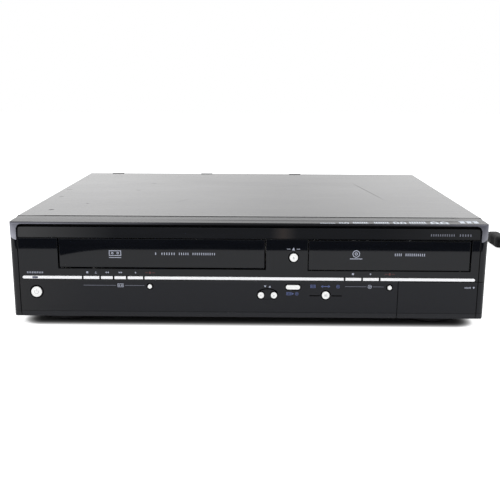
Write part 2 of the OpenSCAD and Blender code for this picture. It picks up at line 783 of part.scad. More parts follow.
module tray_pinion() {
    color("#d9d4c4") at_drive() translate([rack_x - pinion_r, pinion_y, 0]) difference() {
        union() {
            translate([0, 0, tray_z - 5.5]) linear_extrude(4.8) gear_2d(pinion_teeth, pinion_r, 1.15);
            translate([0, 0, drive_z + 3.4]) cylinder(h = 3, r = 10.5);
            translate([0, 0, drive_z + 3.4]) cylinder(h = tray_z - drive_z - 8, r = 4);
        }
        translate([0, 0, 0]) cylinder(h = case_h, r = post_r + run_fit);
    }
}

module drive_frame() {
    color("#85888c") at_drive() {
        difference() {
            union() {
                box([-drive_half, drive_front, drive_z], [drive_half, drive_back, drive_z + 1.5]);
                for (side = [-1, 1]) {
                    wall = [side * drive_half, side * (drive_half - drive_wall)];
                    box([min(wall), drive_front, drive_z], [max(wall), drive_back, drive_top]);
                    low = [side * (drive_half - drive_wall + tiny), side * (tray_w / 2 - 3.5)];
                    box([min(low), drive_front, tray_z - slide_gap - 1.8], [max(low), drive_back, tray_z - slide_gap]);
                    box([min(low), drive_front, tray_z + tray_t + slide_gap],
                        [max(low), drive_back, tray_z + tray_t + slide_gap + 1.5]);
                    for (y = [40, 190]) post([side * 60, y], 4, floor_z, drive_z + tiny);
                    for (y = [rod_front - 2, rod_back])
                        box([side * rod_x - 4, y, drive_z], [side * rod_x + 4, y + 2, rod_z + 2.5]);
                    rod_y(side * rod_x, rod_z, post_r, rod_front - 1, rod_back + 1);
                }
                box([-drive_half, drive_back - drive_wall, drive_z], [drive_half, drive_back, drive_top]);
                // Bridge over the tray, which carries the clamper
                box([-drive_half, spindle_y - 17, drive_top], [drive_half, spindle_y + 17, drive_top + 1.4]);
                // Spindle motor, feed motor and the pinion's post
                post([0, spindle_y], 13, drive_z, tray_z - 4);
                post([0, spindle_y], 1, drive_z, tray_z + 1);
                rod_y(screw_x, rod_z, 5, rod_back + 2, rod_back + 20);
                box([screw_x - 4, rod_back + 2, drive_z], [screw_x + 4, rod_back + 20, rod_z]);
                box([screw_x - 3, rod_front - 2, drive_z], [screw_x + 3, rod_front, rod_z + 2.5]);
                box([screw_x - 3, rod_back, drive_z], [screw_x + 4.5, rod_back + 2.1, rod_z + 2.5]);
                post([rack_x - pinion_r, pinion_y], 3.5, drive_z, drive_z + 3.2);
                post([rack_x - pinion_r, pinion_y], post_r, drive_z, tray_z - 1);
                post([-18, pinion_y + 2], 9, drive_z, drive_z + 9);
            }
            post([0, spindle_y], 8 + run_fit, drive_top - 1, case_h);
            rod_y(screw_x, rod_z, post_r + run_fit, rod_front - 3, rod_back + 1.5);
        }
    }
}

module turntable() {
    color("#3a3a3d") at_drive() difference() {
        union() {
            post([0, spindle_y], 14, tray_z - 3.7, tray_z - 1);
            post([0, spindle_y], 7.4, tray_z - 1.1, tray_z + 2.6);
        }
        post([0, spindle_y], 1 + run_fit, tray_z - 4, tray_z + 1.3);
    }
}

module clamper() {
    color("#d9d4c4") at_drive() {
        post([0, spindle_y], 14, tray_z + tray_t + 1.5, tray_z + tray_t + 4.5);
        post([0, spindle_y], 8, tray_z + tray_t + 4.4, drive_top + 2);
        post([0, spindle_y], 11, drive_top + 1.7, drive_top + 3.2);
    }
}

module optical_pickup() {
    color("#54565a") at_drive() difference() {
        union() {
            box([-rod_x - 3.5, pickup_y, rod_z - 4.5], [rod_x + 3.5, pickup_y + pickup_l, rod_z + 3.2]);
            post([0, pickup_y + pickup_l / 2], 5, rod_z, tray_z + 1);
            // Arm that rides on the feed screw
            box([screw_x - 3, pickup_y + 7, rod_z + 1.8], [-rod_x, pickup_y + 13, rod_z + 3.2]);
        }
        for (side = [-1, 1]) rod_y(side * rod_x, rod_z, post_r + 0.1, pickup_y - 1, pickup_y + pickup_l + 1);
    }
}

module feed_screw() {
    color("#c9ccd0") at_drive() rod_y(screw_x, rod_z, post_r, rod_front - 1.5, rod_back + 1.2);
}

/* Tape deck, drawn about the deck's X */

module at_deck() {
    seat() translate([deck_x, 0, 0]) children();
}

module deck_chassis() {
    cap = capstan_at - [deck_x, 0];
    pivot = pinch_pivot - [deck_x, 0];
    load = loading_at - [deck_x, 0];
    color("#a7a9ac") at_deck() difference() {
        union() {
            box([-deck_half, deck_front, deck_bottom], [deck_half, deck_back, deck_top]);
            for (side = [-1, 1], y = [deck_front + 7, deck_back - 8]) post([side * 93, y], 4, floor_z, deck_top - tiny);
            // Reel spindles
            for (side = [-1, 1]) {
                post([side * reel_pitch / 2, reel_y], 3, deck_bottom, deck_top + boss_h);
                post([side * reel_pitch / 2, reel_y], post_r, deck_bottom, deck_top + 12);
            }
            // Capstan bearing, pinch arm post and loading gear post
            post(cap, 5, deck_bottom - 2.8, deck_top + 3);
            post(pivot, 3.5, deck_bottom, deck_top + 5.3);
            post(pivot, big_post_r, deck_bottom, deck_top + 8.5);
            post(load, 3.5, deck_bottom, deck_top + boss_h);
            post(load, big_post_r, deck_bottom, deck_top + 7.5);
            // Erase head, sound and control head, and the fixed tape posts
            box([-66, 160, deck_top - tiny], [-56, 168, deck_top + 24]);
            box([50, 184, deck_top - tiny], [62, 194, deck_top + 24]);
            for (at = [[-80, 158], [-50, 172], [46, 176]]) post(at, post_r, deck_bottom, deck_top + 26);
            // Loading motor
            post([load[0], load[1] + 32], 11, deck_bottom, deck_top + 22);
        }
        post(cap, capstan_r + run_fit, 0, case_h);
    }
}

// Side plates that carry the cassette carriage
module carriage_brackets() {
    color("#b4b6b9") at_deck() for (side = [-1, 1]) {
        face = [side * deck_half, side * (deck_half + 1.2)];
        difference() {
            union() {
                box([min(face), deck_front, deck_bottom], [max(face), 160, holder_top + 4]);
                foot = [side * (deck_half - 8), side * (deck_half + 1.2)];
                box([min(foot), deck_front, deck_bottom - 1.2], [max(foot), 160, deck_bottom]);
            }
            for (y = driver_pins()) translate([side * (deck_half - 1), y + holder_in / 2, rail_z]) rotate([90, 0, 90 * side])
                linear_extrude(4) slot_2d(holder_in, post_r + run_fit);
            for (y = [deck_front + 7]) post([side * 93, y], 4.3, 0, deck_bottom);
        }
    }
}

function driver_pins() = [driver_y + 5, driver_y + driver_l - 5];

// Slotted plates that push the holder in and guide it down
module carriage_driver() {
    color("#9da0a3") at_deck() {
        for (side = [-1, 1]) {
            face = [side * driver_in, side * driver_out];
            difference() {
                box([min(face), driver_y, deck_top + 1], [max(face), driver_y + driver_l, holder_top + 3.4]);
                for (y = holder_pins) translate([side * (driver_in - 1), y, pin_z - holder_drop / 2]) rotate([90, 0, 90 * side])
                    linear_extrude(4) rotate(90) slot_2d(holder_drop, post_r + run_fit);
            }
            for (y = driver_pins()) {
                pin = [side * (driver_out - tiny), side * (deck_half + 1.2)];
                rod_x_bar(y, rail_z, post_r, min(pin), max(pin));
            }
        }
        rod_x_bar(driver_y + driver_l - 3, holder_top + 2.1, 1.2, -driver_in - tiny, driver_in + tiny);
    }
}

module cassette_holder() {
    low = slot_bottom - sheet_t;
    back = holder_y + holder_l;
    color("#b0b2b5") at_deck() {
        difference() {
            union() {
                for (side = [-1, 1]) {
                    wall = [side * holder_half, side * (holder_half - 1)];
                    box([min(wall), holder_y, low], [max(wall), back, holder_top]);
                    ledge = [side * holder_half, side * (holder_half - 13)];
                    box([min(ledge), holder_y, low], [max(ledge), back, low + 1]);
                    for (y = holder_pins) {
                        pin = [side * (holder_half - tiny), side * driver_out];
                        rod_x_bar(y, pin_z, post_r, min(pin), max(pin));
                    }
                }
                box([-holder_half, holder_y, holder_top - 1], [holder_half, back, holder_top]);
            }
            box([-60, holder_y + 18, holder_top - 2], [60, back - 14, holder_top + 1]);
        }
    }
}

module tilted_drum() {
    at_deck() translate([0, drum_y, drum_z]) rotate([drum_tilt, 0, 0]) children();
}

module lower_drum() {
    color("#c4c6c9") {
        at_deck() post([0, drum_y], 18, deck_top, drum_z - 3);
        tilted_drum() {
            translate([0, 0, -5]) cylinder(h = 9, r = drum_r - 0.2);
            translate([0, 0, 3]) cylinder(h = 11, r = 2.5);
        }
    }
}

module upper_drum() {
    color("#dcdde0") tilted_drum() difference() {
        translate([0, 0, 4.3]) cylinder(h = 10.5, r = drum_r);
        translate([0, 0, 4]) cylinder(h = 20, r = 2.5 + run_fit);
        translate([0, 0, 13.4]) difference() {
            cylinder(h = 3, r = drum_r - 4);
            translate([0, 0, -1]) cylinder(h = 5, r = 9);
        }
        // Small windows for the video heads
        for (turn = [0 : 60 : 300]) rotate([0, 0, turn]) translate([drum_r - 1.5, -1.5, 4]) cube([3, 3, 1.2]);
    }
}

module capstan_flywheel() {
    color("#8f9296") seat() {
        post(capstan_at, capstan_r, deck_bottom - 14, deck_top + 26);
        difference() {
            post(capstan_at, 26, deck_bottom - 12, deck_bottom - 3.2);
            post(capstan_at, 22, deck_bottom - 6.5, deck_bottom);
        }
        post(capstan_at, 6, deck_bottom - 8, deck_bottom - 3.2);
    }
}

module pinch_arm() {
    arm_z = deck_top + 5.5;
    color("#6f7276") seat() translate([pinch_pivot[0], pinch_pivot[1], 0]) rotate([0, 0, pinch_angle]) difference() {
        union() {
            translate([0, 0, arm_z]) cylinder(h = 2.2, r = 5);
            translate([0, -3, arm_z]) cube([pinch_l, 6, 2.2]);
            translate([pinch_l, 0, arm_z]) cylinder(h = 2.2, r = 3);
            translate([pinch_l, 0, arm_z + 1]) cylinder(h = 19, r = 1.2);
        }
        cylinder(h = case_h, r = big_post_r + run_fit);
    }
}

module pinch_roller() {
    at = pinch_pivot + pinch_l * [cos(pinch_angle), sin(pinch_angle)];
    color("#1a1a1a") seat() difference() {
        post(at, roller_r, deck_top + 8, deck_top + 23.5);
        post(at, 1.2 + run_fit, 0, case_h);
    }
}

module reel(side) {
    at = [side * reel_pitch / 2, reel_y];
    z = deck_top + boss_h + lift;
    color("#e6e2d6") at_deck() difference() {
        union() {
            post(at, 17, z, z + 2.4);
            post(at, 11, z, z + 4.5);
            post(at, 6, z, z + 13);
            translate([at[0], at[1], z + 4.4]) for (turn = [0, 120, 240]) rotate([0, 0, turn])
                translate([0, -1.2, 0]) cube([10.5, 2.4, 7]);
        }
        post(at, post_r + run_fit, 0, z + 11.5);
    }
}

module supply_reel() { reel(-1); }
module takeup_reel() { reel(1); }

// A tape guide on an arm that turns about the drum's foot
module tape_guide(side, level) {
    angle = -90 + side * guide_rest;
    low = deck_top + 0.6 + level * 2.5;
    at_deck() translate([0, drum_y, 0]) rotate([0, 0, angle]) {
        difference() {
            union() {
                translate([0, 0, low]) cylinder(h = 2, r = ring_in + 4.5);
                translate([0, -3.5, low]) cube([guide_r, 7, 2]);
                translate([guide_r, 0, low]) cylinder(h = 2, r = 3.5);
            }
            translate([0, 0, low - 1]) cylinder(h = 4, r = 18 + run_fit);
        }
        translate([guide_r, 0, low + 1]) cylinder(h = 26 - level * 2.5, r = 1.2);
        translate([guide_r, 0, deck_top + 6]) cylinder(h = 19, r = 2.8);
    }
}

module entry_guide() { color("#9fa2a6") tape_guide(-1, 0); }
module exit_guide() { color("#9fa2a6") tape_guide(1, 1); }

module loading_gear() {
    color("#d9d4c4") seat() translate([loading_at[0], loading_at[1], gear_z]) difference() {
        union() {
            linear_extrude(4) gear_2d(36, 18, 1.3);
            cylinder(h = 6, r = 5);
        }
        translate([0, 0, -1]) cylinder(h = 10, r = big_post_r + run_fit);
        // Cam groove
        translate([1.5, 0, 2.5]) difference() {
            cylinder(h = 3, r = 13);
            translate([0, 0, -1]) cylinder(h = 5, r = 10.5);
        }
    }
}

/* Electronics */

module front_jack_block() {
    color("#2b2b2b") seat() {
        difference() {
            union() {
                box([recess_left + 4, recess_back, base_z + 9], [recess_right - 4, recess_back + 8.4, base_z + 31]);
                for (x = jack_x()) rod_y(x, jack_z(), rca_r, 7, recess_back + 0.1);
            }
            for (x = jack_x()) rod_y(x, jack_z(), 1.7, 6, recess_back - 1);
        }
        box([recess_left + 1, recess_back + 8.4, base_z + 7], [recess_right - 1, recess_back + 10, base_z + 33]);
    }
}

module rear_jack_block() {
    color("#26262a") seat() difference() {
        union() {
            box([rca_left - 8, rear_y - 19, board_z + board_t],
                [rca_left + (rca_cols - 1) * rca_pitch + 8, rear_y - sheet_t, rca_rows[2] + 8]);
            for (z = rca_rows, i = [0 : rca_cols - 1]) {
                rod_y(rca_left + i * rca_pitch, z, rca_r + 0.2, rear_y - sheet_t - 1, rear_y + 0.6);
                rod_y(rca_left + i * rca_pitch, z, rca_r, rear_y, case_d + 6);
            }
        }
        for (z = rca_rows, i = [0 : rca_cols - 1])
            rod_y(rca_left + i * rca_pitch, z, 1.7, rear_y - 6, case_d + 7);
    }
}

module tuner_module() {
    color("#b9bcc0") seat() difference() {
        union() {
            box([aerial_x - 13, rear_y - 44, board_z + board_t], [aerial_x + 18, rear_y - sheet_t, base_z + 66]);
            for (z = aerial_z) {
                rod_y(aerial_x, z, aerial_r + 0.2, rear_y - sheet_t - 1, rear_y + 0.6);
                rod_y(aerial_x, z, aerial_r, rear_y, case_d + socket_reach);
            }
        }
        for (z = aerial_z) rod_y(aerial_x, z, 0.8, rear_y, case_d + socket_reach + 1);
    }
}

module main_board() {
    top = board_z + board_t;
    // Middle and size of the larger parts on the board
    parts = [[[-120, 210], [28, 28, 2.4]], [[-60, 255], [22, 22, 2]], [[-135, 110], [18, 30, 3]], [[-40, 90], [24, 12, 3]]];
    color("#2c5a36") seat() {
        box([main_left, main_front, board_z], [main_right, main_back, top]);
        for (p = parts) translate([p[0][0] - p[1][0] / 2, p[0][1] - p[1][1] / 2, top - tiny]) cube(p[1]);
        // Digital video socket behind its window in the rear panel
        box([-8, main_back - 6, board_z], [20, rear_y - sheet_t - 0.3, top]);
    }
    color("#b9bcc0") seat() difference() {
        union() {
            box([5, rear_y - 14, top - tiny], [20, rear_y - sheet_t, base_z + 19]);
            box([5, rear_y - 3, base_z + 13], [20, rear_y, base_z + 19]);
        }
        box([6.5, rear_y - 10, base_z + 14.5], [18.5, rear_y + 1, base_z + 17.8]);
    }
}

module power_supply() {
    top = board_z + board_t;
    corner = [psu_left, psu_front];
    color("#c9b27a") seat() box([psu_left, psu_front, board_z], [psu_right, psu_back, top]);
    // Transformer
    color("#d8b832") seat() translate([psu_left + 56, psu_front + 30, top - tiny]) cube([34, 30, 27]);
    // Large and small capacitors
    color("#2a2f45") seat() {
        for (at = [[114, 58], [114, 32]]) post(corner + at, 9, top - tiny, top + 30);
        for (at = [[18, 13], [33, 13], [18, 30]]) post(corner + at, 5, top - tiny, top + 18);
    }
    // Heat sink with its fins
    color("#b5b7ba") seat() translate([psu_left + 34, psu_front + 68, top]) {
        box([0, 0, -tiny], [60, 3, 30]);
        for (i = [0 : 7]) box([2 + i * 8, 2.9, 3], [3.5 + i * 8, 12, 30]);
    }
}

module fan_frame() {
    half = fan_size / 2;
    color("#202022") seat() difference() {
        union() {
            difference() {
                box([fan_at[0] - half, fan_y, fan_at[1] - half], [fan_at[0] + half, fan_y + fan_t, fan_at[1] + half]);
                rod_y(fan_at[0], fan_at[1], half - 1, fan_y - 1, fan_y + fan_t + 1);
            }
            for (turn = [0, 120, 240]) translate([fan_at[0], fan_y, fan_at[1]]) rotate([0, turn, 0])
                translate([-1.2, 0, 0]) cube([2.4, 1.4, half - 0.4]);
            rod_y(fan_at[0], fan_at[1], 9, fan_y, fan_y + 1.4);
            rod_y(fan_at[0], fan_at[1], 1, fan_y, fan_y + fan_t - 1.6);
        }
        for (x = [-1, 1], z = [-1, 1])
            rod_y(fan_at[0] + x * (half - 4), fan_at[1] + z * (half - 4), 1.7, fan_y - 1, fan_y + fan_t + 1);
    }
}

module fan_rotor() {
    blade_r = fan_size / 2 - 1.8;
    color("#2c2c2e") seat() translate([fan_at[0], fan_y + 1.7, fan_at[1]]) difference() {
        union() {
            rotate([-90, 0, 0]) cylinder(h = fan_t - 2.2, r = 10.5);
            intersection() {
                rotate([-90, 0, 0]) cylinder(h = fan_t - 2.2, r = blade_r);
                for (i = [0 : 6]) rotate([0, i * 360 / 7, 0]) translate([0, (fan_t - 2.2) / 2, 9])
                    rotate([0, 0, 40]) translate([-0.5, -6.5, 0]) cube([1, 13, 12]);
            }
        }
        translate([0, -1, 0]) rotate([-90, 0, 0]) cylinder(h = fan_t - 2, r = 1 + run_fit);
    }
}

/* Mains lead */

module cord_relief() {
    color("#141416") seat() difference() {
        union() {
            rod_y(cord_exit[0], cord_exit[1], 5.9, rear_y - sheet_t - 0.1, rear_y + 0.1);
            rod_y(cord_exit[0], cord_exit[1], 8, rear_y - 4, rear_y - sheet_t);
            rod_y(cord_exit[0], cord_exit[1], 8, rear_y, rear_y + 3);
            translate([cord_exit[0], rear_y + 2, cord_exit[1]]) rotate([-90, 0, 0])
                cylinder(h = cord_start - rear_y - 2, r1 = 5.5, r2 = cord_d / 2 + 0.5);
        }
    }
}

function unit(v) = v / norm(v);
// Direction of a route at point i
function tangent(p, i) = unit(p[min(i + 1, len(p) - 1)] - p[max(i - 1, 0)]);
// Two directions across a tangent; the helper direction is never along the route
function across(t) = unit(cross(t, [0.05, 0.1, 1]));
function ring(p, i, r, sides) =
    let (t = i == 0 ? unit(p[1] - p[0]) : tangent(p, i), u = across(t), v = cross(t, u))
    [for (k = [0 : sides - 1]) p[i] + r * (cos(360 * k / sides) * u + sin(360 * k / sides) * v)];

// A closed tube along a route
module tube(p, r, sides) {
    n = len(p);
    points = [for (i = [0 : n - 1]) each ring(p, i, r, sides)];
    walls = [for (i = [0 : n - 2], k = [0 : sides - 1]) each [
        [i * sides + k, (i + 1) * sides + k, i * sides + (k + 1) % sides],
        [i * sides + (k + 1) % sides, (i + 1) * sides + k, (i + 1) * sides + (k + 1) % sides]
    ]];
    start = [[for (k = [0 : sides - 1]) k]];
    end = [[for (k = [sides - 1 : -1 : 0]) (n - 1) * sides + k]];
    polyhedron(points, concat(walls, start, end));
}

module mains_cord() {
    color("#141416") seat() {
        tube(lead_route, cord_d / 2, 10);
        tube(end_route, cord_d / 2, 10);
    }
}

module cord_coil() {
    color("#141416") seat() translate([coil_at[0], coil_at[1], 0]) rotate_extrude($fn = 64)
        translate([coil_r - cord_d, 0]) square([2 * cord_d, coil_h]);
}

module mains_plug() {
    mid = plug_at[0];
    color("#111113") seat() {
        along_y(plug_at[1], plug_at[1] + plug_l) translate([mid, 0]) arched(plug_w / 2, 0, plug_h, 3);
        translate([mid, plug_at[1] + tiny, 7.5]) rotate([90, 0, 0]) cylinder(h = neck_l + tiny, r1 = 4.6, r2 = cord_d / 2 + 0.4);
    }
    color("#c8a860") seat() for (side = [-1, 1])
        box([mid + side * 6.35 - 0.75, plug_at[1] + plug_l - tiny, 4.8], [mid + side * 6.35 + 0.75, plug_at[1] + plug_l + 17, 11.1]);
}

top_cover();
cover_screws();
front_bezel();
gloss_band();
silver_trim();
chassis_pan();
rear_panel();
feet();
key_board();
display_module();
front_jack_block();
rear_jack_block();
tuner_module();
main_board();
power_supply();
fan_frame();
fan_rotor();
av_flap();
cassette_door();
door_spring();
power_button();
eject_key();
rewind_key();
forward_key();
tape_play_key();
disc_stop_key();
disc_play_key();
tape_record_button();
disc_record_button();
tray_button();
channel_down_button();
channel_up_button();
dubbing_button();
select_button();
cord_relief();
mains_cord();
cord_coil();
mains_plug();
deck_chassis();
carriage_brackets();
carriage_driver();
cassette_holder();
lower_drum();
upper_drum();
capstan_flywheel();
pinch_arm();
pinch_roller();
supply_reel();
takeup_reel();
entry_guide();
exit_guide();
loading_gear();
drive_frame();
disc_tray();
tray_front();
tray_pinion();
optical_pickup();
feed_screw();
turntable();
clamper();
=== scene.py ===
"""Looks of the cassette and disc recorder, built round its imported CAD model."""
import functools
import json
import math

import bmesh
import bpy
from mathutils import Matrix, Vector


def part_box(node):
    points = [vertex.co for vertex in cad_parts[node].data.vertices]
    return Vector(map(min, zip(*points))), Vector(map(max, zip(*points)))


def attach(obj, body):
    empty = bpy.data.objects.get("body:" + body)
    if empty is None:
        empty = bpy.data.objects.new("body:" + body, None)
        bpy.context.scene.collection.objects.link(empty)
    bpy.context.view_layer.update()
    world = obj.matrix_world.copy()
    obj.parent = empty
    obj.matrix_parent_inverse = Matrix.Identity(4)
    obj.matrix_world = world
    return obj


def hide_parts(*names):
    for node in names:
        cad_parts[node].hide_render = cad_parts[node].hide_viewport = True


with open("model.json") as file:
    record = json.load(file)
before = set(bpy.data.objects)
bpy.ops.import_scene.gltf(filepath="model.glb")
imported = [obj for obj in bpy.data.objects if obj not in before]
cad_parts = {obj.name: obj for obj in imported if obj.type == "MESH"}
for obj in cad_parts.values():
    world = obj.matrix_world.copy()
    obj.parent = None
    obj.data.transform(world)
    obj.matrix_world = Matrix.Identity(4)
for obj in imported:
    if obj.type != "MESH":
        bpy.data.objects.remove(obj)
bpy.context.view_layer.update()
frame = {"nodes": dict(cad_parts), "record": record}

scene = bpy.context.scene
scene.view_settings.view_transform = "Standard"
MM = 0.001
PANEL_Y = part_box("front_bezel")[0].y


def at(x, y, z):
    """A point given in millimetres, with Y counted back from the plane of the front panel."""
    return Vector((x * MM, PANEL_Y + y * MM, z * MM))


def box_mm(node):
    """Lowest and highest corner of a CAD node in the millimetres that at() takes."""
    return [Vector((v.x / MM, (v.y - PANEL_Y) / MM, v.z / MM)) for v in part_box(node)]


BEZEL_LOW, BEZEL_HIGH = box_mm("front_bezel")
COVER_LOW, COVER_HIGH = box_mm("top_cover")
STRIP_LOW, STRIP_HIGH = box_mm("silver_trim")
BAND_LOW, BAND_HIGH = box_mm("gloss_band")
DOOR_Y, TRAY_Y = box_mm("cassette_door")[0].y, box_mm("tray_front")[0].y
REAR_Y = box_mm("rear_panel")[1].y
STRIP_Z = (STRIP_LOW.z + STRIP_HIGH.z) / 2
TABLE_FRONT = 318.0  # how far the pale table reaches in front of the recorder
LAMP_AIM = Vector((0, 0, 0.04))


def eased(t):
    """0 up to t = 0, 1 from t = 1, and a smooth rise between them."""
    t = min(1.0, max(0.0, t))
    return t * t * (3 - 2 * t)


# ---------------------------------------------------------------- camera

CAMERA_AT = (7.6, -662.7, 226.3)
CAMERA_PITCH, CAMERA_YAW, CAMERA_ROLL = 12.93, 0.56, -0.258
CAMERA_LENS, SENSOR_WIDTH = 54.03, 36.0
VIEW_WIDTH = 500  # in pixels, as the shift of the camera
CAMERA_SHIFT = (0.49, -0.47)


def make_camera():
    """A camera ahead of the recorder and a little above it."""
    pitch, yaw, roll = (math.radians(a) for a in (CAMERA_PITCH, CAMERA_YAW, CAMERA_ROLL))
    forward = Vector((0, math.cos(pitch), -math.sin(pitch)))
    right = Vector((1, 0, 0))
    down = forward.cross(right)
    turn = Matrix.Rotation(yaw, 3, "Z")
    forward, right, down = (turn @ v for v in (forward, right, down))
    across = math.cos(roll) * right + math.sin(roll) * down
    below = math.cos(roll) * down - math.sin(roll) * right
    data = bpy.data.cameras.new("view")
    data.lens, data.sensor_width = CAMERA_LENS, SENSOR_WIDTH
    data.clip_start, data.clip_end = 0.02, 40.0
    data.shift_x, data.shift_y = (shift / VIEW_WIDTH for shift in CAMERA_SHIFT)
    camera = bpy.data.objects.new("view", data)
    scene.collection.objects.link(camera)
    turned = Matrix((across, -below, -forward)).transposed()
    camera.matrix_world = Matrix.Translation(at(*CAMERA_AT)) @ turned.to_4x4()
    scene.camera = camera


make_camera()


# ---------------------------------------------------------------- shader maths

def math_step(operation, swapped=False):
    """A method that adds one Math node; swapped puts the value itself last."""
    def step(self, *others):
        return self.calculate(operation, *((*others, self) if swapped else (self, *others)))
    return step


class Value:
    """One output of a node; arithmetic on it adds Math nodes to the same sheet."""

    def __init__(self, sheet, socket):
        self.sheet, self.socket = sheet, socket

    def calculate(self, operation, *terms, clamp=False):
        settings = {"operation": operation, "use_clamp": clamp}
        return self.sheet.node("ShaderNodeMath", settings, dict(enumerate(terms)))

    __add__ = __radd__ = math_step("ADD")
    __mul__ = __rmul__ = math_step("MULTIPLY")
    __sub__, __rsub__ = math_step("SUBTRACT"), math_step("SUBTRACT", swapped=True)
    __truediv__, __rtruediv__ = math_step("DIVIDE"), math_step("DIVIDE", swapped=True)
    __pow__, __abs__ = math_step("POWER"), math_step("ABSOLUTE")
    most, least, sine = math_step("MAXIMUM"), math_step("MINIMUM"), math_step("SINE")

    def above(self, edge, soft):
        """0 below the edge and 1 above it, over a soft width."""
        return self.calculate("MULTIPLY_ADD", self - edge, 1.0 / soft, 0.5, clamp=True)

    def below(self, edge, soft):
        """1 below the edge and 0 above it, over a soft width."""
        return self.calculate("MULTIPLY_ADD", self - edge, -1.0 / soft, 0.5, clamp=True)


class Sheet:
    """The node tree of one finish, of the room or of the rings."""

    def __init__(self, tree):
        self.tree = tree
        tree.nodes.clear()

    def node(self, kind, settings=None, inputs=None, out=0):
        """Adds a node: its settings first, then the values or links of its sockets.

        It gives back one output, several of them for a tuple, or nothing for the end of a tree.
        """
        made = self.tree.nodes.new(kind)
        for key, value in (settings or {}).items():
            setattr(made, key, value)
        for key, value in (inputs or {}).items():
            socket = made.inputs[key]
            if isinstance(value, Value):
                self.tree.links.new(value.socket, socket)
            elif socket.type == "RGBA" and len(value) == 3:
                socket.default_value = (*value, 1)
            else:
                socket.default_value = value
        if isinstance(out, tuple):
            return [Value(self, made.outputs[key]) for key in out]
        return Value(self, made.outputs[out]) if len(made.outputs) else None

    def split(self, vector):
        return self.node("ShaderNodeSeparateXYZ", None, {0: vector}, out=(0, 1, 2))

    def rays(self):
        """1 for a ray from the camera, for one from a mirror and for one behind clear glass."""
        return self.node("ShaderNodeLightPath",
                         out=("Is Camera Ray", "Is Glossy Ray", "Is Transmission Ray"))

    def mix(self, factor, a, b):
        """A colour between a and b."""
        return self.node("ShaderNodeMix", {"data_type": "RGBA"}, {0: factor, 6: a, 7: b}, out=2)

    def blend(self, factor, first, second):
        """A shader between two others."""
        return self.node("ShaderNodeMixShader", None, {0: factor, 1: first, 2: second})


class Finish(Sheet):
    """A material that reads its piece's Object coordinates."""

    def __init__(self, name):
        self.material = bpy.data.materials.new(name)
        self.material.use_nodes = True
        super().__init__(self.material.node_tree)
        self.place = self.node("ShaderNodeTexCoord", out="Object")
        self.x, self.y, self.z = self.split(self.place)

    def noise(self, scale, detail=2.0, stretch=(1, 1, 1)):
        """Cloudy noise from 0 to 1; a stretch over 1 makes it finer along that axis."""
        where = self.place
        if stretch != (1, 1, 1):
            where = self.node("ShaderNodeVectorMath", {"operation": "MULTIPLY"}, {0: self.place, 1: stretch})
        return self.node("ShaderNodeTexNoise", None, {"Vector": where, "Scale": scale, "Detail": detail})

    def cells(self, scale):
        """Cells of an even colour each, at random."""
        return self.node("ShaderNodeTexVoronoi", None, {"Vector": self.place, "Scale": scale}, out="Color")

    def bricks(self, scale, second, line, width, height, offset):
        """Rows of bricks: black and a second shade of them, with white lines between."""
        return self.node("ShaderNodeTexBrick", {"offset": offset}, {
            "Vector": self.place, "Color1": (0, 0, 0), "Color2": second, "Mortar": (1, 1, 1), "Scale": scale,
            "Mortar Size": line, "Brick Width": width, "Row Height": height})

    def edge(self, radius):
        """A normal that rounds the edges by a radius in metres."""
        return self.node("ShaderNodeBevel", {"samples": 6}, {"Radius": radius})

    def bump(self, height, distance, strength=1.0, over=None):
        """A normal bent by a height of up to a distance in metres, on top of another normal."""
        inputs = {"Height": height, "Distance": distance, "Strength": strength}
        if over is not None:
            inputs["Normal"] = over
        return self.node("ShaderNodeBump", None, inputs)

    def coat(self, **sockets):
        """A Principled shader; its sockets are named with underscores for spaces."""
        named = {name.replace("_", " "): value for name, value in sockets.items()}
        return self.node("ShaderNodeBsdfPrincipled", None, named)

    def out(self, shader):
        self.node("ShaderNodeOutputMaterial", None, {"Surface": shader})
        return self.material


def srgb(r, g, b):
    """A colour given in 0 to 255 screen values, as linear light."""
    return tuple((c / 255 / 12.92) if c <= 10 else ((c / 255 + 0.055) / 1.055) ** 2.4 for c in (r, g, b))


# ---------------------------------------------------------------- room, table and lamps

def make_room():
    """Light from all round, with a white backdrop that only the camera sees."""
    world = bpy.data.worlds.new("studio")
    scene.world = world
    world.use_nodes = True
    world.cycles.sampling_method = "NONE"
    room = Sheet(world.node_tree)
    is_camera, is_glossy, is_clear = room.rays()
    x, y, z = room.split(room.node("ShaderNodeTexCoord", out="Generated"))
    # Mirrors and gloss see a dim room ahead of the panel, and pale walls beside, behind and above it
    ahead = (0.0 - y).above(0.32, 0.4) * z.below(0.5, 0.3)
    # Two windows stand ahead, the left one brighter, and a narrow warm lamp between them
    bearing = x / (0.0 - y).most(0.05)
    window = bearing.below(-0.25, 0.12) * 1.4 + bearing.above(0.24, 0.16) * 0.5
    lamp = 1.0 - (abs(bearing - 0.035) * 55.0).least(1.0)
    above_horizon = z.above(0.0, 0.03)
    dim = 0.09 + above_horizon * (0.27 + window)
    behind = y.above(0.4, 0.4)
    low = z.below(0.155, 0.05) * 0.06
    pale = 1.03 + low + behind * (abs(x - 0.04).above(0.13, 0.22) * 0.28)
    shine = ahead * dim + (1.0 - ahead) * pale
    warm = room.mix(ahead * above_horizon * lamp * 0.75, (1.0, 1.0, 1.0), (1.0, 0.78, 0.66))
    strength = shine + ahead * lamp * above_horizon * 0.8
    grey = room.node("ShaderNodeVectorMath", {"operation": "SCALE"}, {0: warm, "Scale": strength})

    def light(colour, power):
        return room.node("ShaderNodeBackground", None, {"Color": colour, "Strength": power})
    mirrored, diffuse, backdrop = light(grey, 1.0), light((0.97, 0.98, 1.0), 0.66), light((1, 1, 1), 1.0)
    seen = room.blend(is_camera.most(is_clear), room.blend(is_glossy, diffuse, mirrored), backdrop)
    room.node("ShaderNodeOutputWorld", None, {"Surface": seen})


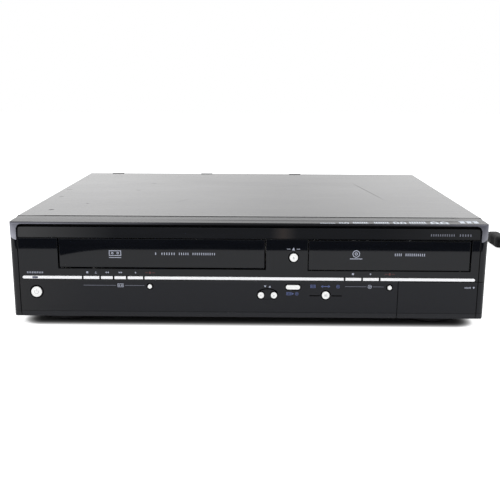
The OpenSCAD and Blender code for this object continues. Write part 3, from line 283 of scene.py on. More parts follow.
def make_table():
    """A pale table; it keeps the recorder's shadow close to it, deepened by a painted shadow under and near
    the case, where its colour darkens and its glow fades, and it is plain white farther out.
    """
    far, front = 4.0, PANEL_Y - TABLE_FRONT * MM
    corners = [(-far, front, 0), (far, front, 0), (far, far, 0), (-far, far, 0)]
    mesh = bpy.data.meshes.new("table")
    mesh.from_pydata(corners, [], [(0, 1, 2, 3)])
    table = bpy.data.objects.new("table", mesh)
    scene.collection.objects.link(table)
    top = Finish("pale_table")
    under = 24.0 * MM  # the shadow starts this far in under the case
    half_x = BEZEL_HIGH.x * MM - under
    back = PANEL_Y + COVER_HIGH.y * MM
    middle, half_y = (PANEL_Y + back) / 2, (back - PANEL_Y) / 2 - under
    beside = (abs(top.x) - half_x).most(0.0)
    before = (abs(top.y - middle) - half_y).most(0.0)
    distance = (beside * beside + before * before) ** 0.5
    is_camera, is_glossy, is_clear = top.rays()
    seen = is_camera.most(is_clear) * 0.75 + is_glossy * 0.1
    lift = (distance / 0.0207).least(1.0) ** 4.6  # the table glows from where the shadow ends
    # Painted shadow: the table's colour darkens under the case and close to it
    shade = distance.above(0.019, 0.014)
    painted_shadow_tone = top.mix(shade, (0.13, 0.13, 0.13), (0.9, 0.9, 0.9))
    paint = top.node("ShaderNodeBsdfDiffuse", None, {"Color": painted_shadow_tone})
    glow = top.node("ShaderNodeEmission", None, {"Color": (1, 1, 1), "Strength": seen * lift})
    both = top.node("ShaderNodeAddShader", None, {0: paint, 1: glow})
    mesh.materials.append(top.out(both))


def make_lamp(name, place, size, power):
    """A soft round lamp that points at the recorder and shows in no mirror."""
    data = bpy.data.lights.new(name, "AREA")
    data.shape, data.size, data.energy = "DISK", size, power
    lamp = bpy.data.objects.new(name, data)
    scene.collection.objects.link(lamp)
    lamp.location = place
    lamp.rotation_euler = (LAMP_AIM - Vector(place)).to_track_quat("-Z", "Y").to_euler()
    lamp.visible_glossy = False


make_room()
make_table()
make_lamp("key", (-0.5, -1.1, 1.5), 1.3, 11.0)
make_lamp("fill", (0.9, -0.8, 1.1), 1.2, 5.0)
make_lamp("rear", (0.2, 1.5, 1.2), 1.2, 4.0)


# ---------------------------------------------------------------- finishes

GAP_HALF = 0.8  # half the width of a parting line between keys
GROOVE_X, GROOVE_TOP_Z = 209.8, 83.6  # the columns at both ends start here
SEAM_X, SEAM_HALF = 1.0, 192.7  # the seam between hood and cover: its middle and half its length
HOOD_LINE_Y, HOOD_SHEEN_Y = 11.7, 18.5  # a dull line and a pale one along the hood's top
CHIN_H, CREASE_H = 4.8, 5.3  # over the front's lower edge
BOW_X, BOW_RUN, BOW_TOP_Z = -118.0, 52.0, 83.4  # the door's bow grows to the left from here, over this run
KEY_ENDS = (-151.4, -135.4, -123.1, -111.0, -95.4, 88.0, 103.9, 119.9)
# Rubbed places of the cover: middle x and y, half length, half width, turn in degrees, depth of the mark
COVER_MARKS = (
    (-193, 58, 3.0, 2.6, 35, 0.75), (-204, 140, 3.0, 2.4, 20, 0.4), (-208, 192, 4.0, 2.2, 0, 0.35),
    (-166, 95, 1.6, 1.8, 0, 0.5), (-118, 246, 3.0, 3.4, 0, 0.2), (-128, 190, 2.6, 3.0, 0, 0.18),
    (133.5, 196, 70.0, 0.7, 98, 0.5), (-70, 118, 14.0, 1.2, 60, 0.12), (46, 232, 22.0, 1.0, 15, 0.1),
)


def most_of(values):
    """The highest of some values at each place."""
    return functools.reduce(Value.most, values)


def near(finish, x, y, long, wide, turn):
    """1 inside a turned ellipse of the cover's top, and 0 outside it."""
    c, s = math.cos(math.radians(turn)), math.sin(math.radians(turn))
    dx, dy = finish.x - x * MM, finish.y - (PANEL_Y + y * MM)
    u, v = dx * c + dy * s, dy * c - dx * s
    return ((u * u) * (1 / (long * MM) ** 2) + (v * v) * (1 / (wide * MM) ** 2)).below(0.75, 0.7)


def powder_coat():
    """Dark painted steel of the cover: fine grain, a painted highlight along its front bend, its rubbed
    places and painted shade along the seam.
    """
    f = Finish("powder_coat")
    grain = f.noise(2600, 1.0)
    cloud = f.noise(9, 2.0, (1, 2.2, 1))
    streak = f.noise(30, 2.0, (0.12, 5, 1))
    top = f.z.above((COVER_HIGH.z - 0.6) * MM, 0.0004)
    normal = f.bump(grain, 0.00004, 0.22, f.bump(streak, 0.0004, 0.12, f.edge(0.0006)))
    front = f.y - (PANEL_Y + COVER_LOW.y * MM)
    # Painted highlight: the front bend is lighter in colour
    bend = front.above(0.0008, 0.0004) * front.below(0.0044, 0.001) * top
    shade = f.mix(bend, f.mix(cloud, srgb(48, 48, 50), srgb(60, 60, 62)), srgb(92, 92, 94))
    paint = f.coat(Base_Color=shade, Roughness=0.17 + cloud * 0.06, IOR=1.56, Normal=normal)
    rubbed_and_seam_shade = f.coat(Base_Color=srgb(34, 34, 36), Roughness=0.75, IOR=1.2, Normal=normal)
    marks = most_of(near(f, *place) * depth for *place, depth in COVER_MARKS)
    # Painted shade along the seam behind the hood; the lid meets the hood closely at both ends
    seam = front.below(0.0006, 0.0003) * abs(f.x - SEAM_X * MM).below(SEAM_HALF * MM, 0.0012) * 0.9
    return f.out(f.blend(marks.most(seam) * top, paint, rubbed_and_seam_shade))


# The hood's top starts at its lip, a little behind the panel, and rises towards its back
HOOD_LIP_Y, HOOD_RISE = 1.4, 0.9
HOOD_LIP_Z = BEZEL_HIGH.z - HOOD_RISE
SKIN_PROUD, SKIN_FROM, SKIN_TO = 0.15, 186.0, 204.0


def skin_height(x):
    """How proud the skin on the hood's ends is: it rises between two places in X."""
    return SKIN_PROUD * eased((x - SKIN_FROM) / (SKIN_TO - SKIN_FROM))


def hood_coat(f):
    """Grey metallic paint of the hood with painted light and shade: its face darkens towards the middle, is
    lighter towards the foot of its ends and has a painted shadow under the lip on the left; its top is
    smooth, with a painted sheen line.
    """
    speck = f.noise(1500, 1.0)
    above = f.z.above(HOOD_LIP_Z * MM, 0.0003)
    back = f.y - PANEL_Y
    normal = f.bump(speck, 0.00003, 0.12, f.edge(0.0009))
    # Painted reflection: the face's colour is darker towards the middle and turns to the ends' grey towards
    # both ends
    outer = (abs(f.x - 0.03) / 0.22).least(1.0) ** 3
    # Painted highlight: the ends' grey is lighter towards their foot
    cheek = f.mix(f.z.below((BAND_LOW.z + 7) * MM, 0.012), srgb(126, 127, 137), srgb(168, 169, 179))
    # Painted shadow: a darker line along the top of the face, below the lip's bevel, on the left
    rim = f.z.above(HOOD_LIP_Z * MM - 0.0009, 0.0004) * f.x.below(-0.11, 0.05) * 0.75
    shade = f.mix(rim, f.mix(outer, srgb(20, 20, 23), cheek), srgb(60, 60, 64))
    face = f.coat(Base_Color=shade, Roughness=0.32, IOR=1.3, Metallic=0.5, Normal=normal)
    sheen = abs(back - HOOD_SHEEN_Y * MM).below(0.003, 0.003) * 0.6
    top = f.coat(Base_Color=f.mix(sheen, srgb(48, 48, 50), srgb(84, 84, 86)), Roughness=0.24, IOR=1.31,
                 Metallic=0.08, Normal=normal)
    dull = f.coat(Base_Color=srgb(34, 34, 36), Roughness=0.75, IOR=1.2, Normal=normal)
    line = abs(back - HOOD_LINE_Y * MM).below(0.0022, 0.0014)
    line = line * f.x.above(-0.05, 0.1) * f.x.below(0.19, 0.01) * 0.5
    return f.blend(above, face, f.blend(line, top, dull))


def front_moulding():
    """Glossy black face with a grey hood above it, faint moulding waves, and painted light and shade: dark
    lines in the grooves and the crease, and a lighter chin and left end of the lower face.
    """
    f = Finish("front_moulding")
    wave = f.noise(9, 1.0, (1, 1, 0.5))
    speck = f.noise(1500, 1.0)
    low = f.z.below((STRIP_LOW.z - 2) * MM, 0.002)
    chin = f.z.below((BEZEL_LOW.z + CHIN_H) * MM, 0.0004)
    back = f.y - PANEL_Y
    # Painted shade: dark lines in the columns' grooves and in the crease over the chin
    groove_shade = abs(abs(f.x) - GROOVE_X * MM).below(0.00046, 0.0001) * f.z.below(GROOVE_TOP_Z * MM, 0.0004)
    crease_shade = abs(f.z - (BEZEL_LOW.z + CREASE_H) * MM).below(0.0003, 0.0003) * 0.6
    dark = groove_shade.most(crease_shade)
    normal = f.bump(wave, 0.00035, 0.55, f.edge(0.0006))
    dust = speck.above(0.72, 0.08) * 0.006
    # Painted light: the lower face is lighter and greyer at its left end, and the chin is lighter still
    left = f.x.below(-0.178, 0.07)
    satin = f.mix(chin, f.mix(left, srgb(7, 9, 17), srgb(24, 24, 26)), srgb(26, 27, 32))
    lower = f.coat(Base_Color=satin, IOR=1.385, Roughness=0.2, Normal=normal)
    upper = f.coat(Base_Color=srgb(6, 8, 14), IOR=1.405, Roughness=0.03 + dust, Normal=normal)
    face = f.blend(low, upper, lower)
    # Rough dark plastic of the walls behind the face, which also paints the shade in the grooves and the
    # crease
    inside = f.coat(Base_Color=srgb(14, 14, 16), Roughness=0.6, IOR=1.25)
    hood = f.z.above((BEZEL_HIGH.z - 2.6) * MM, 0.0004)
    behind = back.above(0.0026, 0.0004) * f.z.below((BEZEL_HIGH.z - 1.6) * MM, 0.0003)
    side = abs(f.x).above((BEZEL_HIGH.x - 2.4) * MM, 0.0004)
    return f.out(f.blend((behind * (1.0 - side)).most(dark), f.blend(hood, face, hood_coat(f)), inside))


def gloss_panel():
    """Polished black plastic with a slow wave and hairline wear."""
    f = Finish("polished_black")
    wave = f.noise(7, 1.5, (1, 1, 0.4))
    hair = f.noise(260, 3.0, (0.08, 1, 1))
    # The cassette door is slightly bowed towards its left end
    bow = ((BOW_X * MM - f.x) / (BOW_RUN * MM)).most(0.0).least(1.0)
    tilt = (f.z - 0.07) * bow * bow * f.z.below(BOW_TOP_Z * MM, 0.0004)
    normal = f.bump(wave, 0.0006, 0.6, f.bump(tilt * -0.0125, 1.0, 1.0, f.edge(0.0007)))
    shade = f.mix(hair.above(0.6, 0.3), srgb(4, 6, 12), srgb(8, 10, 16))
    return f.out(f.coat(Base_Color=shade, IOR=1.42, Roughness=0.022 + hair * 0.02, Normal=normal))


def silver_paint():
    """Pale silver, with the dark parting lines between neighbouring keys."""
    f = Finish("silver_paint")
    fleck = f.noise(5200, 1.0)
    gap = most_of(abs(f.x - x * MM).below(GAP_HALF * MM, 0.0001) for x in KEY_ENDS)
    pale = f.mix(fleck.above(0.55, 0.3), srgb(250, 250, 252), srgb(254, 254, 255))
    return f.out(f.coat(Base_Color=f.mix(gap, pale, srgb(6, 6, 7)), Roughness=0.42 + fleck * 0.08, IOR=1.45,
                        Normal=f.bump(fleck, 0.00001, 0.2, f.edge(0.0004))))


def pale_cap():
    """Smooth white caps with a spun face, with painted shade: dark below the panel's surface."""
    f = Finish("pale_cap")
    soft = f.noise(400, 2.0)
    # Painted shade where the caps lie below the panel's surface
    sunk = (f.y - PANEL_Y).above(0.0002, 0.0002)
    white = f.mix(soft, srgb(250, 250, 248), srgb(254, 254, 253))
    normal = f.bump(soft, 0.00002, 0.25, f.edge(0.0006))
    return f.out(f.coat(Base_Color=f.mix(sunk, white, srgb(70, 70, 72)), Roughness=0.36 + soft * 0.1,
                        IOR=1.46, Normal=normal))


def zinc_sheet():
    """Zinc plated sheet with its crystal pattern."""
    f = Finish("zinc_sheet")
    crystal = f.cells(260)
    spread = f.split(crystal)[0]
    scratch = f.noise(160, 3.0, (0.2, 1, 1))
    return f.out(f.coat(Base_Color=f.mix(spread, srgb(180, 183, 187), srgb(192, 195, 198)), Metallic=0.9,
                        Roughness=0.34 + spread * 0.08 + scratch * 0.06,
                        Normal=f.bump(scratch, 0.00003, 0.3, f.edge(0.0004))))


def deck_plate():
    """Bright plated steel with a fine rolled grain and a warm cast."""
    f = Finish("deck_plate")
    rolled = f.noise(900, 3.0, (1, 0.04, 1))
    cast = f.noise(14, 2.0)
    return f.out(f.coat(Base_Color=f.mix(cast, srgb(184, 184, 182), srgb(202, 199, 190)), Metallic=0.92,
                        Roughness=0.26 + rolled * 0.16, Normal=f.bump(rolled, 0.00003, 0.35, f.edge(0.0003))))


def drum_metal():
    """Finely turned aluminium: rings round the drum's own axis."""
    f = Finish("turned_aluminium")
    low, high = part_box("upper_drum")
    middle = (low + high) / 2
    dx, dy = f.x - middle.x, f.y - middle.y
    rings = ((dx * dx + dy * dy) ** 0.5 * 9000.0 + f.z * 9000.0).sine()
    worn = f.noise(60, 2.0)
    return f.out(f.coat(Base_Color=f.mix(worn, srgb(205, 206, 208), srgb(222, 222, 222)), Metallic=1.0,
                        Roughness=0.2 + worn * 0.1, Normal=f.bump(rings, 0.000012, 0.5)))


def board_lacquer(name, lacquer, light, parts_z):
    """Circuit board: lacquer over tracks, with dark and bright parts above it."""
    f = Finish(name)
    tracks = f.bricks(260.0, (0.25, 0.25, 0.25), 0.016, 0.9, 0.3, offset=0.5)
    plate = f.mix(f.split(tracks)[0], lacquer, light)
    kind = f.split(f.cells(55))[0]
    part = f.mix(kind.above(0.7, 0.02), f.mix(kind.above(0.45, 0.02), srgb(24, 24, 27), srgb(38, 58, 92)),
                 srgb(176, 178, 180))
    above = f.z.above(parts_z, 0.0002)
    grit = f.noise(700, 2.0)
    return f.out(f.coat(Base_Color=f.mix(above, plate, part), Roughness=0.38 + grit * 0.2,
                        Normal=f.bump(grit, 0.00005, 0.3, f.edge(0.0003))))


def moulded(name, dark, light, roughness, ior=1.45, grain=1400, depth=0.00004, edge=0.0005):
    """A moulded plastic or rubber with a fine grain and a slow change of shade."""
    f = Finish(name)
    fine, slow = f.noise(grain, 2.0), f.noise(22, 2.0)
    return f.out(f.coat(Base_Color=f.mix(slow, dark, light), Roughness=roughness + fine * 0.1, IOR=ior,
                        Normal=f.bump(fine, depth, 0.5, f.edge(edge))))


def sheathing():
    """Soft black cover of the lead, slightly dusty on top."""
    f = Finish("lead_cover")
    fine, dust = f.noise(1800, 2.0), f.noise(55, 3.0)
    return f.out(f.coat(Base_Color=f.mix(dust.above(0.52, 0.3), srgb(5, 5, 6), srgb(11, 11, 12)),
                        Roughness=0.5 + fine * 0.16, IOR=1.24, Normal=f.bump(fine, 0.00004, 0.4)))


def smoked_glass():
    """Greenish display window with the faint grid of its cells."""
    f = Finish("smoked_glass")
    cell = f.bricks(200.0, (0, 0, 0), 0.03, 1.0, 1.0, offset=0.0)
    return f.out(f.coat(Base_Color=f.mix(f.split(cell)[0] * 0.4, srgb(26, 44, 42), srgb(60, 84, 78)),
                        Roughness=0.08 + f.noise(30, 2.0) * 0.04, IOR=1.5))


def ink(name, colour, deep, ior=1.4):
    """Screen printed ink, a little uneven."""
    f = Finish(name)
    patchy = f.noise(2200, 2.0)
    return f.out(f.coat(Base_Color=f.mix(patchy, deep, colour), Roughness=0.45 + patchy * 0.1, IOR=ior))


def foil(name, colour, deep):
    """Thin bright plating, a little clouded."""
    f = Finish(name)
    cloud = f.noise(500, 2.0)
    return f.out(f.coat(Base_Color=f.mix(cloud, deep, colour), Metallic=0.25, Roughness=0.3 + cloud * 0.1))


def hood_end_paint():
    """The hood's paint alone, for the skins on its ends."""
    f = Finish("hood_end")
    return f.out(hood_coat(f))


# The boards' finishes show parts above these heights, in metres, and lacquer below them
MAIN_PARTS_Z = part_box("chassis_pan")[0].z + 0.0068
POWER_PARTS_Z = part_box("power_supply")[0].z + 0.0018
FINISHES = {
    "cover_paint": powder_coat(),
    "screw_black": moulded("blackened_screw", srgb(38, 38, 40), srgb(50, 50, 52), 0.34,
                           ior=1.6, grain=900, depth=0.00003, edge=0.0003),
    "front_plastic": front_moulding(),
    "gloss_black": gloss_panel(),
    "silver_paint": silver_paint(),
    "button_white": pale_cap(),
    "zinc_steel": zinc_sheet(),
    "deck_steel": deck_plate(),
    "drum_aluminium": drum_metal(),
    "foot_plastic": moulded("foot_moulding", srgb(22, 22, 24), srgb(30, 30, 32), 0.5),
    "circuit_board": board_lacquer("main_board_finish", srgb(34, 84, 52), srgb(64, 120, 78), MAIN_PARTS_Z),
    "power_parts": board_lacquer("power_board_finish", srgb(150, 116, 72), srgb(176, 146, 98), POWER_PARTS_Z),
    "display_glass": smoked_glass(),
    "jack_plastic": moulded("jack_moulding", srgb(26, 26, 28), srgb(34, 34, 36), 0.4),
    "fan_plastic": moulded("fan_moulding", srgb(28, 28, 30), srgb(36, 36, 38), 0.42),
    "lead_rubber": sheathing(),
    "plug_rubber": moulded("plug_moulding", srgb(5, 5, 6), srgb(10, 10, 11), 0.5,
                           ior=1.24, grain=1100, depth=0.00006, edge=0.0008),
    "white_acetal": moulded("acetal", srgb(226, 222, 208), srgb(236, 233, 222), 0.38),
    "roller_rubber": moulded("ground_rubber", srgb(24, 24, 24), srgb(34, 34, 34), 0.62,
                             ior=1.4, grain=2600, depth=0.00008, edge=0.0003),
    "tray_plastic": moulded("tray_moulding", srgb(30, 30, 32), srgb(38, 38, 40), 0.42),
}
for row in frame["record"]["subparts"]:
    shown = frame["nodes"][row["node"]].data.materials
    shown.clear()
    shown.append(FINISHES[row["material_slot"]])

WHITE_INK = ink("white_ink", srgb(182, 186, 200), srgb(164, 168, 184))
GREY_INK = ink("grey_ink", srgb(122, 124, 136), srgb(108, 110, 122))
RED_INK = ink("red_ink", srgb(92, 56, 56), srgb(80, 48, 48))
BLUE_INK = ink("blue_ink", srgb(96, 108, 156), srgb(84, 96, 142))
# Black for painted shade in the gaps round the buttons and in sunk lines
SHADE_BLACK = ink("painted_shade_black", srgb(2, 2, 3), srgb(4, 4, 5), ior=1.1)
SYMBOL_GREY = ink("symbol_grey", srgb(186, 186, 188), srgb(176, 176, 178))
SIGN_WHITE = ink("sign_white", srgb(222, 228, 236), srgb(206, 212, 222), ior=1.3)


# ---------------------------------------------------------------- pieces

def finish_mesh(mesh_edit, name, material, body, slot=None, smooth=None):
    """Turns an edit mesh into a piece that rides on a body; smooth is the widest soft edge in degrees."""
    bmesh.ops.remove_doubles(mesh_edit, verts=mesh_edit.verts, dist=1e-7)
    bmesh.ops.recalc_face_normals(mesh_edit, faces=mesh_edit.faces)
    mesh = bpy.data.meshes.new(name)
    mesh_edit.to_mesh(mesh)
    mesh_edit.free()
    mesh.materials.append(material)
    if smooth:
        mesh.polygons.foreach_set("use_smooth", [True] * len(mesh.polygons))
        mesh.set_sharp_from_angle(angle=math.radians(smooth))
    piece = bpy.data.objects.new(name, mesh)
    scene.collection.objects.link(piece)
    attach(piece, body)
    return piece


CORNERS = ((-1, -1), (1, -1), (1, 1), (-1, 1))


def join_rows(mesh, rows, closed=True):
    """Adds faces between neighbouring rows of vertices; a closed row runs on from its end to its start."""
    for a, b in zip(rows, rows[1:]):
        for i in range(len(a) if closed else len(a) - 1):
            j = (i + 1) % len(a)
            mesh.faces.new((a[i], a[j], b[j], b[i]))


def close_rows(mesh, rows):
    """Joins closed rows and shuts the first and the last of them."""
    join_rows(mesh, rows)
    mesh.faces.new(rows[0])
    mesh.faces.new(rows[-1][::-1])


def arc(u, v, across, along, start, sweep, steps):
    """Points of a part of an oval, with both its ends; angles are in degrees."""
    angles = [math.radians(start + sweep * i / steps) for i in range(steps + 1)]
    return [(u + across * math.cos(a), v + along * math.sin(a)) for a in angles]


def oval(u, v, across, along, count=22):
    return arc(u, v, across, along, 0, 360, count)[:-1]


def circle(u, v, r, count):
    return oval(u, v, r, r, count)


def rectangle(u, v, w, h):
    return [(u + du * w / 2, v + dv * h / 2) for du, dv in CORNERS]


class Stamp:
    """Thin raised shapes on one face of the recorder, gathered into one closed mesh."""

    def __init__(self, place, thick=0.06, sunk=0.05):
        self.mesh, self.place, self.thick, self.sunk = bmesh.new(), place, thick, sunk

    def _ring(self, outline, w):
        return [self.mesh.verts.new(self.place(u, v, w)) for u, v in outline]

    def plate(self, outline):
        """A thin flat shape."""
        close_rows(self.mesh, [self._ring(outline, w) for w in (-self.sunk, self.thick)])

    def band(self, outer, inner, closed=True):
        """A strip between two outlines of as many points; an open one ends at the outlines' ends."""
        rings = [self._ring(o, w) for o, w in ((outer, -self.sunk), (outer, self.thick),
                                               (inner, self.thick), (inner, -self.sunk))]
        join_rows(self.mesh, rings + rings[:1], closed)
        if not closed:
            for i in (0, -1):
                self.mesh.faces.new([ring[i] for ring in rings])

    def bar(self, u, v, w, h):
        self.plate(rectangle(u, v, w, h))

    def line(self, u0, u1, v, h):
        """A bar from u0 to u1."""
        self.bar((u0 + u1) / 2, v, u1 - u0, h)

    def disc(self, u, v, r, count=20):
        self.plate(circle(u, v, r, count))

    def ring(self, u, v, r, line, count=24):
        self.band(circle(u, v, r, count), circle(u, v, r - line, count))

    def window(self, u, v, w, h, line):
        self.band(rectangle(u, v, w, h), rectangle(u, v, w - 2 * line, h - 2 * line))

    def arrow(self, u, v, size, way):
        """A triangle that points left, right, up or down."""
        half = size / 2
        shape = [(-half * 0.85, -half), (half * 0.85, 0), (-half * 0.85, half)]
        turn = {"right": 0, "up": 90, "left": 180, "down": 270}[way]
        c, s = math.cos(math.radians(turn)), math.sin(math.radians(turn))
        self.plate([(u + a * c - b * s, v + a * s + b * c) for a, b in shape])

    def dashes(self, u0, u1, v, h, count, fill=0.68):
        """A row of plain upright bars of equal height."""
        pitch = (u1 - u0) / count
        for i in range(count):
            self.bar(u0 + (i + 0.5) * pitch, v, pitch * fill, h)

    def cassette(self, u, v, w, h):
        """A window with two reels in it."""
        line = h * 0.13
        self.window(u, v, w, h, line)
        for side in (-1, 1):
            self.ring(u + side * w * 0.22, v, h * 0.22, line * 0.9, 14)

    def disc_icon(self, u, v, r):
        """Two rings round one middle."""
        self.ring(u, v, r, r * 0.2, 28)
        self.ring(u, v, r * 0.42, r * 0.2, 16)

    def done(self, name, material, body, slot=None):
        """Makes one piece of the shapes so far."""
        return finish_mesh(self.mesh, name, material, body, slot)


def middle_xz(node):
    """The middle of a node, in X and Z."""
    low, high = box_mm(node)
    return (low.x + high.x) / 2, (low.z + high.z) / 2


def on_front(depth=0.0):
    """A place on an upright face that lies a depth behind the panel's plane."""
    return lambda u, v, w: at(u, depth - w, v)


def on_top(height):
    """A place on a level face."""
    return lambda u, v, w: at(u, v, height + w)


BAND_FOOT_Y, BAND_HEAD_Y = 1.0, 2.1  # how far the band's face lies behind the panel, below and above


def on_band(u, v, w):
    """A place on the leaning face of the glossy band."""
    lean = (BAND_HEAD_Y - BAND_FOOT_Y) / (BAND_HIGH.z - 0.5 - BAND_LOW.z)
    return at(u, BAND_FOOT_Y + (v - BAND_LOW.z) * lean - w, v)


def turned(mesh, profile, centre, count=32):
    """Adds a closed shape turned round an axis along Y; the profile is (y, radius) pairs, in millimetres."""
    rows = [[mesh.verts.new(at(x, y, z)) for x, z in circle(*centre, r, count)] for y, r in profile]
    close_rows(mesh, rows)


# ---------------------------------------------------------------- mains lead

CORD_D = 6.5
LYING = 3.3  # height of the lead's middle where it lies on the table
COIL_AT = (405.0, 325.0)
COIL_OUT, COIL_IN = 39.25, 32.75  # the coil's turns lie two deep
COIL_LEVELS = (LYING, LYING + CORD_D, LYING + 2 * CORD_D)
TURN = 360.0
COIL_SWEEP = 5.5 * TURN
# From the boot down to the table and round to the coil
LEAD_ROUTE = (
    (188, 372, 42), (188, 381, 42), (190, 394, 39), (196, 405, 30.5), (207, 412.5, 19.5), (223, 416.5, 9.5),
    (241, 418, 4.2), (260, 418, LYING), (280, 418, LYING), (300, 416.5, LYING), (320, 413.5, LYING),
    (338, 408, LYING), (353, 399, LYING), (366, 387, LYING), (379, 374.5, LYING), (391.5, 366.5, LYING),
    (405, 364.25, LYING),
)
# From the coil to the plug beside it
END_ROUTE = (
    (405, 285.75, 9.8), (387, 285, 9), (369.5, 283.5, 6.8), (355.5, 287, 5.2), (345.6, 296.5, 6),
    (341.8, 308, 7.3), (341.5, 313, 7.5), (341.5, 317, 7.5),
)


def smooth_route(points, per=5):
    """A smooth curve through the points, sampled a few times between each two."""
    pts = [Vector(p) for p in points]
    made = []
    for i in range(len(pts) - 1):
        before, a, b, after = pts[max(i - 1, 0)], pts[i], pts[i + 1], pts[min(i + 2, len(pts) - 1)]
        for k in range(per):
            t = k / per
            made.append(0.5 * ((2 * a) + (b - before) * t + (2 * before - 5 * a + 4 * b - after) * t * t
                               + (3 * a - before - 3 * b + after) * t ** 3))
    made.append(pts[-1])
    return made


def coil_turns(step=6.0):
    """Five and a half turns, two deep and three high; each turn shifts to the next place on one side."""
    places = [(COIL_OUT, COIL_LEVELS[0]), (COIL_IN, COIL_LEVELS[0]), (COIL_IN, COIL_LEVELS[1]),
              (COIL_IN, COIL_LEVELS[2]), (COIL_OUT, COIL_LEVELS[2]), (COIL_OUT, COIL_LEVELS[1])]
    shifts = [TURN * (j + 0.5) + 36 + (4 - j) * 18 for j in range(5)]
    over = 60.0  # degrees that one shift takes
    made, gone = [], step
    while gone < COIL_SWEEP:
        r, z = places[0]
        for start, (r0, z0), (r1, z1) in zip(shifts, places, places[1:]):
            share = eased((gone - start) / over)
            r += (r1 - r0) * share
            z += (z1 - z0) * share
        a = math.radians(90 - gone)
        made.append(Vector((COIL_AT[0] + r * math.cos(a), COIL_AT[1] + r * math.sin(a), z)))
        gone += step
    return made


def squared(t, power):
    """Cosine and sine of a share of a full turn, pushed out towards the corners of a square."""
    a = 2 * math.pi * t
    return [math.copysign(abs(v) ** p, v) for v, p in zip((math.cos(a), math.sin(a)), power)]


# The grip of the plug: place along it from 0 to 1, half width and half height
GRIP_START = ((0.0, 5.6, 5.3), (0.06, 6.9, 6.6), (0.14, 7.9, 7.5), (0.24, 8.2, 7.9))
GRIP_GROOVES = [(0.3 + 0.04 * i, 8.2 if i % 2 else 7.6, 7.9) for i in range(7)]
GRIP_END = ((0.58, 8.3, 7.9), (0.7, 8.4, 8.0), (0.96, 8.4, 8.0), (0.985, 8.2, 7.8), (1.0, 7.8, 7.4))


def make_plug_body(x, start_y, face_y):
    """Moulded body with finger grooves and a ribbed neck."""
    neck_long, neck_z, body_z, around = 18.0, 7.5, 8.0, 40
    sections = []  # y, half width, half height, middle z, squareness
    for i in range(13):
        t, rib = i / 12, 0.35 * (i % 2)
        sections.append((start_y + neck_long * t, 3.6 + 1.3 * t - rib, 3.6 + 1.0 * t - rib, neck_z, 2.0))
    grip_y = start_y + neck_long + 1.0
    for t, w, h in (*GRIP_START, *GRIP_GROOVES, *GRIP_END):
        sections.append((grip_y + (face_y - grip_y) * t, w, h, body_z, 4.2 if t > 0.1 else 3.0))
    mesh, rows = bmesh.new(), []
    for y, w, h, z, power in sections:
        places = (squared(i / around, (2 / power, 2 / power)) for i in range(around))
        rows.append([mesh.verts.new(at(x + w * c, y, z + h * s)) for c, s in places])
    close_rows(mesh, rows)
    body = finish_mesh(mesh, "plug_body", FINISHES["plug_rubber"], "root", "plug_rubber", smooth=35)
    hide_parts("mains_plug")
    return body


def make_plug_blades(x, face_y, tip_y):
    """Two flat blades with chamfered tips."""
    apart, middle_z = 6.35, 7.95
    mesh = bmesh.new()
    for side in (-1, 1):
        rows = []
        for y, thin, tall in ((face_y - 2, 0.75, 3.15), (tip_y - 2.5, 0.75, 3.15),
                              (tip_y - 0.6, 0.5, 2.6), (tip_y, 0.3, 2.1)):
            rows.append([mesh.verts.new(at(x + side * apart + du * thin, y, middle_z + dv * tall))
                         for du, dv in CORNERS])
        close_rows(mesh, rows)
    brass = foil("plated_blade", srgb(214, 190, 132), srgb(196, 172, 116))
    return finish_mesh(mesh, "plug_blades", brass, "root")


def make_plug():
    """Two-pin plug that lies beside the coil."""
    low, high = box_mm("mains_plug")
    x, face_y = (low.x + high.x) / 2, high.y - 17.0
    return [make_plug_body(x, low.y, face_y), make_plug_blades(x, face_y, high.y)]


def make_relief():
    """Ribbed boot where the lead leaves the rear panel."""
    flange, end = REAR_Y + 3.0, box_mm("cord_relief")[1].y
    profile = [(REAR_Y - 5, 7.6), (REAR_Y - 1.1, 7.6), (REAR_Y - 1.0, 5.9), (REAR_Y, 5.9),
               (REAR_Y + 0.05, 7.8), (REAR_Y + 0.4, 8.0), (flange - 0.4, 8.0), (flange, 7.6)]
    ribs = 7
    pitch = (end - flange) / ribs
    for i in range(ribs):
        y, r = flange + pitch * i, 5.6 - 1.7 * (i + 0.5) / ribs
        profile += [(y + 0.05, r - 0.45), (y + pitch * 0.35, r - 0.45), (y + pitch * 0.42, r + 0.1),
                    (y + pitch - 0.1, r)]
    profile += [(end, 3.5)]
    mesh = bmesh.new()
    turned(mesh, profile, middle_xz("cord_relief"))
    relief = finish_mesh(mesh, "relief_boot", FINISHES["lead_rubber"], "root", "lead_rubber", smooth=40)
    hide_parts("cord_relief")
    return relief


def make_tie():
    """A soft strap round the coil's turns on their far side."""
    inner, outer = COIL_IN - CORD_D / 2, COIL_OUT + CORD_D / 2
    low, high = COIL_LEVELS[0] - CORD_D / 2, COIL_LEVELS[2] + CORD_D / 2
    middle_r, middle_z = (inner + outer) / 2, (low + high) / 2
    half_r, half_z = (outer - inner) / 2 + 0.15, (high - low) / 2 + 0.05
    half_wide, thick, around = 4.5, 0.7, 36
    mesh, rows = bmesh.new(), []
    for across, grow in ((-half_wide, 0.0), (-half_wide, thick), (half_wide, thick), (half_wide, 0.0)):
        row = []
        for c, s in (squared(i / around, (0.45, 0.36)) for i in range(around)):
            r, z = middle_r + (half_r + grow) * c, middle_z + (half_z + grow) * s
            row.append(mesh.verts.new(at(COIL_AT[0] + r, COIL_AT[1] + across, max(z, 0.02))))
        rows.append(row)
    join_rows(mesh, rows + rows[:1])
    return finish_mesh(mesh, "coil_tie", FINISHES["lead_rubber"], "root", "lead_rubber", smooth=40)


